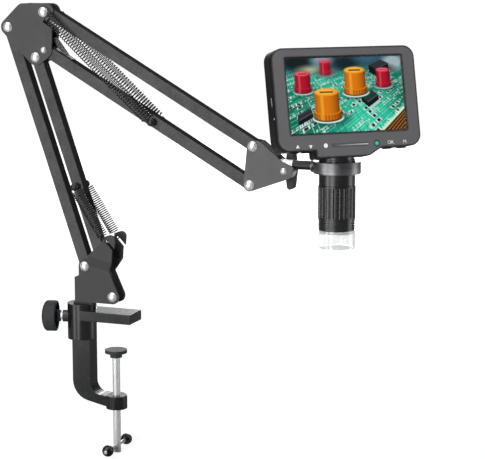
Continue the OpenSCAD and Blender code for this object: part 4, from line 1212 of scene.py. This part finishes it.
class Studio:
    """Pale floor, soft lamps, white panels and the camera. Sizes in metres."""

    floor_z = -0.1466
    floor_size = 60.0
    middle = Vector((0.15, 0.0, 0.12))
    # Where the camera stands, what it looks at, and its focal length in widths of the frame.
    eye = Vector((0.7694, -1.5246, 0.3875))
    target = Vector((0.1863, 0.0, 0.1083))
    focal = 1602.38 / 485
    sensor_mm = 36.0
    # The room's grey, as mirrors show it, and the ceiling with the heights that it fades in.
    mirror_base = 0.13
    ceiling = 0.95
    ceiling_span = (0.5, 0.85)
    # The even light from all round, with a little more from the left.
    ambient = 0.03
    left_light = 0.24
    left_way = (-0.95, 0.3, 0.1)
    # Distances from the origin and what the floor glows between them: to the eye, where it
    # fades to white, and in mirrors, where it darkens under the part.
    floor_seen = (0.2, 1.6, 0.87, 1.0)
    floor_mirrored = (0.25, 0.9, 0.15, 1.0)
    # Shares of a panel's half width where its soft border begins and ends.
    border = (1.4, 0.6)
    panels = (
        SoftPanel(-37.0, 8.0, 4.5),
        SoftPanel(-5.0, 8.0, 4.6),
        SoftPanel(112.0, 12.0, 2.2),
        SoftPanel(209.0, 14.0, 1.0),
    )

    def build(self) -> None:
        """Sets up the floor, the lamps, the world and the camera."""
        self.floor()
        self.world()
        # Mirrors show the white panels in the key lamp's place, so no screen blinds the eye.
        self.lamp("key", (0.0, -2.9, 0.42), 1.1, 62.0).visible_glossy = False
        self.lamp("top", (-0.3, -0.3, 2.4), 1.6, 4.0)
        self.lamp("rear", (-0.5, 2.9, 0.7), 1.2, 40.0)
        self.camera()

    @staticmethod
    def aimed(name: str, data: Camera | Light, place: Vector, target: Vector) -> Object:
        """Puts a camera or a lamp in its place.

        Args:
            name: Its name.
            data: Its settings.
            place: Where it goes.
            target: What it points at.

        Returns:
            The object, linked to the scene.
        """
        thing = bpy.data.objects.new(name, data)
        turn = (place - target).to_track_quat("Z", "Y").to_matrix().to_4x4()
        thing.matrix_world = Matrix.Translation(place) @ turn
        bpy.context.scene.collection.objects.link(thing)
        return thing

    def camera(self) -> None:
        """Adds the camera, a little above the arm and to its right."""
        data = bpy.data.cameras.new("camera")
        data.sensor_width = self.sensor_mm
        data.lens = self.focal * self.sensor_mm
        data.clip_end = 200.0
        bpy.context.scene.camera = self.aimed("camera", data, self.eye, self.target)

    def lamp(
        self, name: str, place: tuple[float, float, float], size: float, power: float
    ) -> Object:
        """Adds one square area lamp that points at the arm's middle.

        Args:
            name: The lamp's name.
            place: Where it hangs.
            size: Its side.
            power: Its power in watts.

        Returns:
            The lamp.
        """
        data = bpy.data.lights.new(name, "AREA")
        data.shape, data.size, data.energy = "SQUARE", size, power
        lamp = self.aimed(name, data, Vector(place), self.middle)
        lamp.visible_camera = False
        return lamp

    def floor(self) -> None:
        """Adds the pale floor under the clamp's screw, which fades to white far away."""
        mesh = bmesh.new()
        bmesh.ops.create_grid(mesh, x_segments=1, y_segments=1, size=self.floor_size)
        material = bpy.data.materials.new("painted_floor")
        material.use_nodes = True
        tree = material.node_tree
        place = add_node(tree, "TexCoord", output="Object")
        away = add_node(tree, "VectorMath", (place,), operation="LENGTH")
        fade = add_node(tree, "MapRange", (away, *self.floor_seen))
        near = add_node(tree, "MapRange", (away, *self.floor_mirrored))
        around = self.round_about(tree, place)
        mirrored = add_node(tree, "Math", (around, near), operation="MULTIPLY")
        plain = add_node(tree, "Math", (self.seen(tree), fade), operation="MULTIPLY")
        glossy = add_node(tree, "LightPath", output="Is Glossy Ray")
        surface = {
            "Base Color": linear("#adadad"),
            "Roughness": 0.9,
            "Specular IOR Level": 0.0,
            "Emission Color": WHITE,
            "Emission Strength": add_node(tree, "Mix", (glossy, plain, mirrored)),
        }
        feed(tree.nodes["Principled BSDF"], surface)
        floor = make_piece("floor", mesh, Matrix.Translation((0, 0, self.floor_z)), material)

    def world(self) -> None:
        """Gives a white surrounding to see, panels to mirror, and a soft light from all round."""
        world = bpy.data.worlds.new("studio")
        bpy.context.scene.world = world
        world.use_nodes = True
        tree = world.node_tree
        way = add_node(tree, "TexCoord", output="Generated")
        height = add_node(tree, "SeparateXYZ", (way,), "Z")
        over = add_node(tree, "MapRange", (height, *self.ceiling_span, 0.0, self.ceiling))
        around = self.round_about(tree, way)
        mirrored = add_node(tree, "Math", (around, over), operation="MAXIMUM")
        left = add_node(tree, "VectorMath", (way, self.left_way), operation="DOT_PRODUCT")
        ends = (self.ambient, self.ambient + self.left_light)
        soft = add_node(tree, "MapRange", (left, 0.0, 1.0, *ends))
        glossy = add_node(tree, "LightPath", output="Is Glossy Ray")
        lit = add_node(tree, "Mix", (glossy, soft, mirrored))
        strength = add_node(tree, "Mix", (self.seen(tree), lit, 1.0))
        feed(tree.nodes["Background"], {"Color": WHITE, "Strength": strength})

    def round_about(self, tree: NodeTree, way: NodeSocket) -> NodeSocket:
        """Gives what a mirror shows in each compass direction: a grey room with white panels.

        Args:
            tree: The node tree.
            way: The direction, or a place seen from the origin.

        Returns:
            The socket with the brightness.
        """
        flat = add_node(tree, "VectorMath", (way, (1.0, 1.0, 0.0)), operation="MULTIPLY")
        compass = add_node(tree, "VectorMath", (flat,), operation="NORMALIZE")
        level: NodeSocket | float = self.mirror_base
        for panel in self.panels:
            turn = math.radians(panel.bearing)
            towards = (math.sin(turn), -math.cos(turn), 0.0)
            facing = add_node(tree, "VectorMath", (compass, towards), operation="DOT_PRODUCT")
            rim = (math.cos(math.radians(panel.half_width * share)) for share in self.border)
            ends = (facing, *rim, 0.0, panel.strength)
            white = add_node(tree, "MapRange", ends, interpolation_type="SMOOTHSTEP")
            level = add_node(tree, "Math", (level, white), operation="MAXIMUM")
        return level

    @staticmethod
    def seen(tree: NodeTree) -> NodeSocket:
        """Gives 1 where a ray arrives from the camera or through glass, and else 0."""
        rays = (add_node(tree, "LightPath", output=f"Is {k} Ray") for k in EYE_RAYS)
        return add_node(tree, "Math", tuple(rays), operation="MAXIMUM")


def main() -> None:
    """Builds and dresses everything in order."""
    logging.basicConfig(level=logging.INFO, format="%(message)s")
    bpy.context.scene.view_settings.view_transform = "Standard"
    Studio().build()
    dress_nodes(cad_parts)
    BoardView().build()
    KeyMarks().build()
    BalanceSprings(
        upper=BalanceSpring(
            "upper_spring", ELBOW_TOP, UPPER_POST, near_gap=5.6, far_gap=4.3,
            pitch=3.15, far_loop=LoopTurn.IN_LINE,
        ),
        lower=BalanceSpring(
            "lower_spring", LOWER_POST, LOWER_ANCHOR, near_gap=4.3, far_gap=4.5,
            pitch=2.3, far_loop=LoopTurn.CROSSED,
        ),
    ).build()


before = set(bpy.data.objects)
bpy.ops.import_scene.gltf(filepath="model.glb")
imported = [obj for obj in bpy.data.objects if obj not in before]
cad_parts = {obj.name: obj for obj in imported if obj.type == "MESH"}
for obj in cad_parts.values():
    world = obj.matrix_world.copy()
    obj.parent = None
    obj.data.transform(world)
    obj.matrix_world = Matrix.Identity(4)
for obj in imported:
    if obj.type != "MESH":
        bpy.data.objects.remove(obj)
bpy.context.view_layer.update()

if __name__ == "__main__":
    main()
